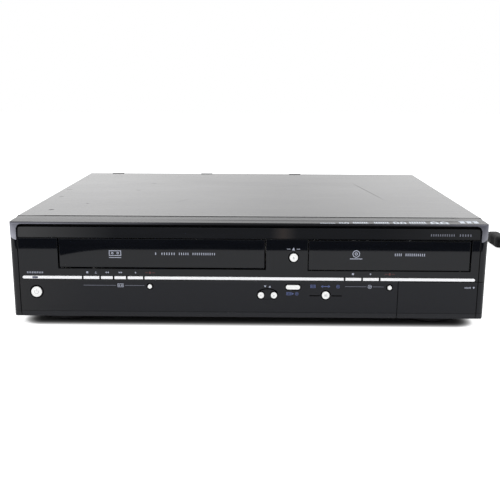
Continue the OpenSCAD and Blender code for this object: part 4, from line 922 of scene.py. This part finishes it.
def make_lead():
    """The mains lead in one piece along its route, with its boot, tie and plug."""
    route = [at(*p) for p in smooth_route(LEAD_ROUTE) + coil_turns() + smooth_route(END_ROUTE)]
    curve = bpy.data.curves.new("mains_lead", "CURVE")
    curve.dimensions = "3D"
    curve.bevel_depth, curve.bevel_resolution = CORD_D / 2 * MM, 4
    curve.use_fill_caps = True
    line = curve.splines.new("POLY")
    line.points.add(len(route) - 1)
    for point, place in zip(line.points, route):
        point.co = (*place, 1)
    line.use_smooth = True
    curve.materials.append(FINISHES["lead_rubber"])
    lead = bpy.data.objects.new("mains_lead", curve)
    scene.collection.objects.link(lead)
    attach(lead, "root")
    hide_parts("mains_cord", "cord_coil")
    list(make_plug())
    make_tie()
    make_relief()


make_lead()


# ---------------------------------------------------------------- hood ends

CORNER_R, ROLL_R = 5.5, 3.0  # the moulding's upright corners, and its ends seen from the front
TIP_Z, TIP_RISE, TIP_RUN = BAND_LOW.z - 1.9, 4.2, 11.0  # the leaf's tip rises over this run round the corner
ARCH_R = 5.0  # the round corner of the band's opening, which the skin follows
ARCH_X, ARCH_Z = BAND_HIGH.x + 0.15 - ARCH_R, BEZEL_HIGH.z - 7.6
SKIN_BACK = COVER_LOW.y - 0.15
LEAF_STEPS = (0.0, 0.012, 0.03, 0.06, 0.1, 0.16, 0.25, 0.4, 0.6, 0.8, 1.0)  # from the tip up to the arch
ARCH_STEPS = (1.4, 2.7, 3.7, 4.4, 4.85, 4.995, 5.4, 5.9, 6.3, 6.7, 6.9, 7.1, 7.3, 7.45)


def skin_line(start):
    """X and Y along the skin from its start on the face, round the corner and back to the cover."""
    half = BEZEL_HIGH.x
    centre = half - CORNER_R
    line = [(start + (centre - start) * i / 6, 0.0) for i in range(6)]
    line += arc(centre, CORNER_R, CORNER_R, CORNER_R, -90, 90, 10)
    line += [(half, CORNER_R + (SKIN_BACK - CORNER_R) * i / 4) for i in (1, 2, 3, 4)]
    return line


def skin_limits(level):
    """At one height: the skin's start in X, its widest X and its nearest Y."""
    top = BEZEL_HIGH.z
    over = max(0.0, level - (top - ROLL_R))
    widest = BEZEL_HIGH.x - ROLL_R + math.sqrt(max(0.0, ROLL_R ** 2 - over ** 2))
    bend = 1.3  # height over which the face bends back to the lip
    nearest = 0.0
    if level > HOOD_LIP_Z:
        nearest = HOOD_LIP_Y + (level - HOOD_LIP_Z) / HOOD_RISE * (SKIN_BACK - HOOD_LIP_Y)
    elif level > HOOD_LIP_Z - bend:
        nearest = (level - (HOOD_LIP_Z - bend)) / bend * HOOD_LIP_Y
    start = BAND_HIGH.x + 0.75
    if level > ARCH_Z + ARCH_R:
        start = SKIN_FROM
    elif level > ARCH_Z:
        start = ARCH_X + math.sqrt(ARCH_R ** 2 - (level - ARCH_Z) ** 2) + 0.55
    return start, widest, nearest


def make_hood_end(side):
    """The hood turns down over an end of the case in a thin skin that closes in a leaf-shaped tip."""
    sunk, core_depth, rim_h, far_from_tip = 0.02, 0.8, 0.9, 9.0
    mesh, grid, lift = bmesh.new(), [], {}
    leaf = [(ARCH_Z, share) for share in LEAF_STEPS]
    for level, share in leaf + [(ARCH_Z + up, None) for up in ARCH_STEPS] + [(BEZEL_HIGH.z, None)]:
        start, widest, nearest = skin_limits(level)
        line = skin_line(start)
        gone, row = 0.0, []
        for i, (x, y) in enumerate(line):
            gone += math.dist(line[i], line[max(i - 1, 0)])
            z, height = level, far_from_tip
            if share is not None:
                tip = TIP_Z + TIP_RISE * eased(gone / TIP_RUN)
                height = (ARCH_Z - tip) * share
                z = tip + height
            x = min(x, widest)
            vertex = mesh.verts.new((side * x, max(y, nearest), z))
            rim = math.sqrt(1 - (1 - min(1.0, height / rim_h)) ** 2)
            lift[vertex] = rim * skin_height(x) - sunk
            row.append(vertex)
        grid.append(row)
    for a, b in zip(grid, grid[1:]):
        for i in range(len(a) - 1):
            mesh.faces.new((a[i], a[i + 1], b[i + 1], b[i])[::side])
    mesh.normal_update()
    skin = [[at(*(v.co + v.normal * lift[v])) for v in row] for row in grid]
    core = [[at(*(v.co - v.normal * core_depth)) for v in row] for row in grid]
    mesh.free()
    mesh = bmesh.new()
    skin, core = ([[mesh.verts.new(p) for p in row] for row in rows] for rows in (skin, core))
    for rows in (skin, core, (skin[0], core[0]), (skin[-1], core[-1])):
        join_rows(mesh, rows, closed=False)
    for i in (0, -1):
        join_rows(mesh, [[row[i] for row in rows] for rows in (skin, core)], closed=False)
    name = "hood_end_right" if side > 0 else "hood_end_left"
    finish_mesh(mesh, name, HOOD_END, "root", "front_plastic", smooth=35)


HOOD_END = hood_end_paint()
for side in (-1, 1):
    make_hood_end(side)


# ---------------------------------------------------------------- prints and marks

ICON_H = 1.75
KEY_SIGN_Z = 51.8  # signs over the keys in the silver strip
STOP_SIGNS_X, PLAY_SIGNS_X, RECORD_SIGNS_X = (-147.2, 95.5), (-102.7, 111.7), (-89.7, 129.0)
EJECT_SIGN_X, REWIND_SIGN_X, FORWARD_SIGN_X = -139.4, -129.1, -116.7
SIDE_SIGN_Z = 39.9  # signs of the two decks and of the sources, under the strip
SIDE_LINES = (  # both ends and height
    (-151.2, -121.2, 39.6), (-113.0, -95.1, 39.6), (88.7, 108.4, 39.9), (114.2, 123.9, 39.9),
)
TRAY_SIGN_X, TRAY_SIGN_Z = 41.0, 74.8
CHANNEL_SIGN_X, CHANNEL_SIGN_Z = 17.75, 39.5
DUB_SIGN_X, DUB_SIGN_Z = 41.05, 32.8
SELECT_SIGN_X = 70.9
DOOR_SIGN_X, DOOR_SIGN_Z = -121.2, 69.9
DISC_SIGN_X, DISC_SIGN_Z = 97.9, 70.6
BAND_SIGN_Z, FLAP_SIGN_Z = 88.1, 39.5
# Rows of plain bars: both ends and the number of bars
BAND_ROWS = ((164.2, 186.6, 11), (190.0, 201.8, 5))
DOOR_ROWS = ((-85.4, -83.0, 1), (-79.6, -66.2, 6), (-63.6, -53.8, 5), (-51.2, -29.7, 11))
TRAY_ROWS = ((132.4, 139.4, 4), (142.0, 160.6, 10))


def make_panel_prints():
    """Signs in pale ink over the keys and beside the buttons."""
    white = Stamp(on_front())
    white.dashes(-202.9, -187.4, 51.4, 1.6, 10, 0.42)
    for u in STOP_SIGNS_X:
        white.bar(u, KEY_SIGN_Z, ICON_H, ICON_H)
    white.arrow(EJECT_SIGN_X, KEY_SIGN_Z + 0.4, ICON_H - 0.5, "up")
    white.bar(EJECT_SIGN_X, KEY_SIGN_Z - 0.9, ICON_H, 0.35)
    for u, way in ((REWIND_SIGN_X, "left"), (FORWARD_SIGN_X, "right")):
        for shift in (-0.9, 0.9):
            white.arrow(u + shift, KEY_SIGN_Z, ICON_H, way)
    for u in PLAY_SIGNS_X:
        white.arrow(u, KEY_SIGN_Z, ICON_H, "right")
    # Signs of the tape side and the disc side, in their thin lines
    white.cassette(-117.1, SIDE_SIGN_Z - 0.25, 5.4, 3.3)
    white.disc_icon(111.3, SIDE_SIGN_Z, 1.8)
    # Tray and channel signs
    white.arrow(TRAY_SIGN_X, TRAY_SIGN_Z + 0.5, 2.2, "up")
    white.bar(TRAY_SIGN_X, TRAY_SIGN_Z - 0.9, 2.4, 0.55)
    for side in (-1, 1):
        white.bar(TRAY_SIGN_X + side * 4.4, TRAY_SIGN_Z, 3.2, 0.45)
    for side, way in ((-1, "down"), (1, "up")):
        white.arrow(CHANNEL_SIGN_X + side * 2.15, CHANNEL_SIGN_Z, 2.2, way)
    white.done("panel_prints", WHITE_INK, "root")


def make_band_lip():
    """A lip that closes the band's lower edge over the notch of the door's spring."""
    lip = Stamp(on_band, sunk=0.4)
    lip.bar(-179.85, BAND_LOW.z + 0.675, 7.5, 1.25)
    lip.done("band_lip", FINISHES["gloss_black"], "root", "gloss_black")


def make_panel_lines():
    """Thin lines on both sides of each deck's sign."""
    grey = Stamp(on_front(), thick=0.04)
    for u0, u1, v in SIDE_LINES:
        grey.line(u0, u1, v, 0.36)
    grey.done("panel_lines", GREY_INK, "root")


def make_record_prints():
    """A dot between two bars over each deck's record key."""
    red = Stamp(on_front())
    for u in RECORD_SIGNS_X:
        red.disc(u, KEY_SIGN_Z, 1.1)
        for side in (-1, 1):
            red.bar(u + side * 3.3, KEY_SIGN_Z, 2.4, 0.6)
    red.done("record_prints", RED_INK, "root")


def make_source_prints():
    """Cassette and disc on both sides of the selector, and from one to the other under the dubbing button."""
    blue = Stamp(on_front())
    blue.cassette(59.4, SIDE_SIGN_Z, 4.6, 2.9)
    blue.disc_icon(82.3, SIDE_SIGN_Z, 1.6)
    blue.bar(SELECT_SIGN_X, SIDE_SIGN_Z, 5.4, 0.6)
    for side, way in ((-1, "left"), (1, "right")):
        blue.arrow(SELECT_SIGN_X + side * 3.3, SIDE_SIGN_Z, 2.4, way)
    blue.cassette(DUB_SIGN_X - 3.65, DUB_SIGN_Z, 4.4, 2.8)
    blue.arrow(DUB_SIGN_X + 0.05, DUB_SIGN_Z, 2.2, "right")
    blue.disc_icon(DUB_SIGN_X + 3.65, DUB_SIGN_Z, 1.55)
    blue.done("source_prints", BLUE_INK, "root")


def make_dashed_prints():
    """Rows of plain bars on the band, the door, the tray's panel and the flap, with a sign beside them."""
    band = Stamp(on_band)
    for u0, u1, count in BAND_ROWS:
        band.dashes(u0, u1, BAND_SIGN_Z, 2.0, count, 0.4)
    band.done("band_prints", GREY_INK, "root", "gloss_black")

    door = Stamp(on_front(DOOR_Y))
    door.cassette(DOOR_SIGN_X, DOOR_SIGN_Z, 11.2, 5.0)
    door.bar(DOOR_SIGN_X, DOOR_SIGN_Z - 4.1, 11.2, 0.6)
    for u0, u1, count in DOOR_ROWS:
        door.dashes(u0, u1, DOOR_SIGN_Z - 0.3, 2.2, count, 0.36)
    door.done("door_prints", WHITE_INK, "tape_door", "gloss_black")

    tray = Stamp(on_front(TRAY_Y))
    tray.disc_icon(DISC_SIGN_X, DISC_SIGN_Z, 3.4)
    tray.bar(DISC_SIGN_X, DISC_SIGN_Z - 4.6, 11.2, 0.7)
    for u0, u1, count in TRAY_ROWS:
        tray.dashes(u0, u1, DISC_SIGN_Z - 0.6, 2.4, count, 0.42)
    tray.done("tray_prints", WHITE_INK, "tray", "gloss_black")

    flap = Stamp(on_front())
    flap.arrow(206.2, FLAP_SIGN_Z, 2.2, "down")
    flap.dashes(197.7, 203.8, FLAP_SIGN_Z, 1.6, 5, 0.42)
    flap.done("flap_print", WHITE_INK, "flap", "front_plastic")


CAP_GROWTH = 1.0  # a button's collar behind the panel is this much wider than its cap
ROUND_GAP_SHADES = {  # how far the gap reaches past the cap, and its width
    "power_button": (1.3, 1.05), "tape_record_button": (1.3, 1.05), "disc_record_button": (1.3, 1.05),
    "tray_button": (1.3, 1.05), "select_button": (1.3, 1.05),
    "channel_down_button": (0.85, 0.6), "channel_up_button": (0.85, 0.6),
}


def make_painted_button_shade():
    """Painted shade: black rings in the gaps round the buttons, black in the sunk lines beside the selector,
    and a dark arch over the channel buttons.
    """
    edge = Stamp(on_front(), thick=0.03)
    for node, (grow, wide) in ROUND_GAP_SHADES.items():
        low, high = box_mm(node)
        x, z = middle_xz(node)
        edge.ring(x, z, (high.x - low.x) / 2 - CAP_GROWTH + grow, wide, 40)
    low, high = box_mm("dubbing_button")
    x, z = middle_xz("dubbing_button")
    half, r = (high.x - low.x) / 2 - CAP_GROWTH, (high.z - low.z) / 2 - CAP_GROWTH

    def pill(grow):
        right, left = (arc(x + side * (half - r), z, r + grow, r + grow, -90 * side, 180, 14)[:-1]
                       for side in (1, -1))
        return right + left
    edge.band(pill(1.2), pill(0.3))
    for u0, u1 in ((56.4, 65.9), (76.5, 86.0)):
        edge.line(u0, u1, 31.0, 1.0)
    # A dark arch above the two channel buttons
    outer, inner = (arc(CHANNEL_SIGN_X, 33.2, across, along, 12, 156, 16)
                    for across, along in ((9.4, 4.6), (8.2, 3.6)))
    edge.band(outer, inner, closed=False)
    edge.done("painted_button_shade", SHADE_BLACK, "root")


def make_cap_signs():
    """Faint signs pressed into the pale caps, each on its own button."""
    def cap(node):
        return Stamp(on_front(box_mm(node)[0].y), thick=0.02), *middle_xz(node)

    def finish(stamp, node):
        stamp.done(node.replace("button", "sign"), SYMBOL_GREY, node, "button_white")

    stamp, x, z = cap("power_button")
    stamp.band(*(arc(x, z, r, r, 125, 290, 20) for r in (2.0, 1.65)), closed=False)
    stamp.bar(x, z + 1.5, 0.35, 1.8)
    finish(stamp, "power_button")
    stamp, x, z = cap("tray_button")
    stamp.arrow(x, z + 0.4, 1.7, "up")
    stamp.bar(x, z - 0.9, 1.9, 0.4)
    finish(stamp, "tray_button")
    for node, way in (("channel_down_button", "down"), ("channel_up_button", "up")):
        stamp, x, z = cap(node)
        stamp.arrow(x, z, 1.6, way)
        finish(stamp, node)
    stamp, x, z = cap("select_button")
    stamp.ring(x, z, 1.3, 0.3, 20)
    stamp.disc(x, z, 0.5, 12)
    finish(stamp, "select_button")


# Signs on the hood: left and right end, how far back each reaches, and whether it is a pair of loops
HOOD_SIGNS = (
    (64.6, 78.2, 2.2, False), (81.6, 90.7, 4.4, True), (94.3, 108.0, 6.0, False), (113.4, 127.1, 7.0, False),
    (130.8, 142.6, 8.0, True), (145.4, 160.9, 8.6, False), (164.5, 181.0, 9.4, True),
)
HOOD_SIGN_Y, HOOD_TOP_RUN = 1.9, 25.8
LAST_SIGN_X = 200.2


def make_hood_marks():
    """Plain pale signs along the right half of the hood's top, larger towards the right."""
    def on_hood(u, v, w):
        rise = (v - HOOD_LIP_Y) * HOOD_RISE / HOOD_TOP_RUN
        return at(u, v, HOOD_LIP_Z + rise + skin_height(u) + w)
    marks = Stamp(on_hood, thick=0.06, sunk=0.1)
    for u0, u1, deep, looped in HOOD_SIGNS:
        u, v, width = (u0 + u1) / 2, HOOD_SIGN_Y + deep / 2, u1 - u0
        if looped:
            for across in (-0.27, 0.27):
                marks.band(oval(u + across * width, v, width * 0.23, deep / 2),
                           oval(u + across * width, v, width * 0.12, deep / 4))
        else:
            marks.dashes(u0, u1, v + deep * 0.2, deep * 0.6, 7, 0.66)
        marks.bar(u, HOOD_SIGN_Y + deep * 0.08, width, max(0.6, deep * 0.14))
    for across in (-6.2, 0.0, 6.2):
        marks.bar(LAST_SIGN_X + across, 8.6, 4.2, 7.4)
    marks.bar(LAST_SIGN_X, 13.9, 17.4, 1.2)
    marks.done("hood_marks", SIGN_WHITE, "root", "front_plastic")


def make_cover_tabs():
    """Folded locking tabs at the cover's rear edge."""
    tabs = Stamp(on_top(COVER_HIGH.z), thick=0.5, sunk=0.3)
    for x in (-179.0, -60.0, 58.0):
        tabs.bar(x, COVER_HIGH.y - 1.4, 15.0, 1.8)
    tabs.done("cover_tabs", FINISHES["cover_paint"], "root", "cover_paint")


def make_standby_lens():
    """The tinted lens of the standby light, in its window at the strip's left end."""
    lens = Stamp(on_front(STRIP_LOW.y + 0.45), thick=0.2, sunk=0.3)
    lens.bar(-195.05, STRIP_Z, 5.1, 1.75)
    lens_tint = moulded("lens_tint", srgb(52, 56, 78), srgb(84, 88, 112), 0.2)
    lens.done("standby_lens", lens_tint, "root")


make_panel_prints()
make_band_lip()
make_panel_lines()
make_record_prints()
make_source_prints()
make_dashed_prints()
make_painted_button_shade()
make_cap_signs()
make_hood_marks()
make_cover_tabs()
make_standby_lens()


# ---------------------------------------------------------------- rings round sockets

def ring_tree():
    """Rings with a square section, one on each point, laid across the Y axis."""
    tree = bpy.data.node_groups.new("rings_on_points", "GeometryNodeTree")
    given = {"Points": "Geometry", "Inner Radius": "Float", "Outer Radius": "Float", "Depth": "Float",
             "Finish": "Material"}
    for name, kind in given.items():
        tree.interface.new_socket(name, in_out="INPUT", socket_type="NodeSocket" + kind)
    tree.interface.new_socket("Rings", in_out="OUTPUT", socket_type="NodeSocketGeometry")
    sheet = Sheet(tree)
    points, inner, outer, depth, paint = sheet.node("NodeGroupInput", out=tuple(given))
    path = sheet.node("GeometryNodeCurvePrimitiveCircle", None,
                      {"Resolution": 28, "Radius": (inner + outer) * 0.5})
    section = sheet.node("GeometryNodeCurvePrimitiveQuadrilateral", None,
                         {"Width": outer - inner, "Height": depth})
    ring = sheet.node("GeometryNodeCurveToMesh", None, {"Curve": path, "Profile Curve": section})
    placed = sheet.node("GeometryNodeInstanceOnPoints", None, {
        "Points": points, "Instance": ring, "Rotation": (math.radians(90), 0, 0)})
    real = sheet.node("GeometryNodeRealizeInstances", None, {"Geometry": placed})
    painted = sheet.node("GeometryNodeSetMaterial", None, {"Geometry": real, "Material": paint})
    sheet.node("NodeGroupOutput", None, {"Rings": painted})
    return tree


RINGS = ring_tree()


def rings(name, places, inner, outer, depth, material, slot):
    """Places rings, sizes in millimetres, and turns the result into a plain mesh."""
    mesh = bpy.data.meshes.new(name + "_points")
    mesh.from_pydata([at(*p) for p in places], [], [])
    holder = bpy.data.objects.new(name + "_points", mesh)
    scene.collection.objects.link(holder)
    modifier = holder.modifiers.new("rings", "NODES")
    modifier.node_group = RINGS
    given = {"Inner Radius": inner * MM, "Outer Radius": outer * MM, "Depth": depth * MM, "Finish": material}
    for item in RINGS.interface.items_tree:
        if item.in_out == "INPUT" and item.name in given:
            modifier[item.identifier] = given[item.name]
    bpy.context.view_layer.update()
    made = bpy.data.meshes.new_from_object(holder.evaluated_get(bpy.context.evaluated_depsgraph_get()))
    bpy.data.objects.remove(holder)
    mesh_edit = bmesh.new()
    mesh_edit.from_mesh(made)
    bpy.data.meshes.remove(made)
    return finish_mesh(mesh_edit, name, material, "root", slot, smooth=40)


SOCKET_COLOURS = {
    "yellow": (srgb(226, 186, 40), srgb(206, 168, 34)), "white": (srgb(228, 226, 220), srgb(212, 210, 204)),
    "red": (srgb(180, 34, 36), srgb(158, 28, 30)), "green": (srgb(46, 140, 74), srgb(38, 122, 62)),
    "blue": (srgb(42, 84, 170), srgb(36, 72, 150)), "orange": (srgb(222, 120, 36), srgb(200, 106, 30)),
}
SOCKET_PITCH = 14.0
FRONT_SOCKETS_X, FRONT_SOCKETS_Y, FRONT_SOCKETS_Z = 166.0, 14.5, 29.5
AERIAL_X, AERIAL_LEVELS = -152.0, (41.5, 63.5)
REAR_ROWS = (("yellow", "white", "red", "yellow", "white", "red", "orange"),
             ("yellow", "white", "red", "green", "blue", "red", "orange"),
             ("yellow", "white", "red", "yellow", "white", "red", "orange"))


def make_socket_rings():
    """Coloured rings and bright lips of the sockets, threads and collars of the aerial sockets."""
    places = {}
    first = box_mm("rear_jack_block")[0].x + 8.0
    for row, z in zip(REAR_ROWS, (31.5, 47.5, 63.5)):
        for i, colour in enumerate(row):
            places.setdefault(colour, []).append((first + SOCKET_PITCH * i, REAR_Y + 0.5, z))
    for i, colour in enumerate(("yellow", "white", "red")):
        x = FRONT_SOCKETS_X + SOCKET_PITCH * i
        places[colour].append((x, FRONT_SOCKETS_Y, FRONT_SOCKETS_Z))
    for colour, (dark, light) in SOCKET_COLOURS.items():
        shade = moulded("socket_" + colour, dark, light, 0.36)
        rings("socket_rings_" + colour, places[colour], 4.25, 6.0, 1.0, shade, slot="jack_plastic")
    barrels = foil("nickel_barrel", srgb(206, 204, 196), srgb(184, 182, 174))
    # A lip stands on the end of each socket: behind the rear panel, or ahead of the pocket's back
    lips = [(x, y + (5.9 if y > FRONT_SOCKETS_Y else -6.9), z)
            for group in places.values() for x, y, z in group]
    rings("socket_lips", lips, 3.0, 4.22, 1.0, barrels, slot="jack_plastic")
    threads = [(AERIAL_X, REAR_Y + 1.6 + 0.9 * i, z) for z in AERIAL_LEVELS for i in range(8)]
    rings("aerial_threads", threads, 4.6, 4.95, 0.45, barrels, slot="zinc_steel")
    collars = [(AERIAL_X, REAR_Y + 0.9, z) for z in AERIAL_LEVELS]
    rings("aerial_collars", collars, 4.8, 7.0, 1.6, barrels, slot="zinc_steel")


make_socket_rings()
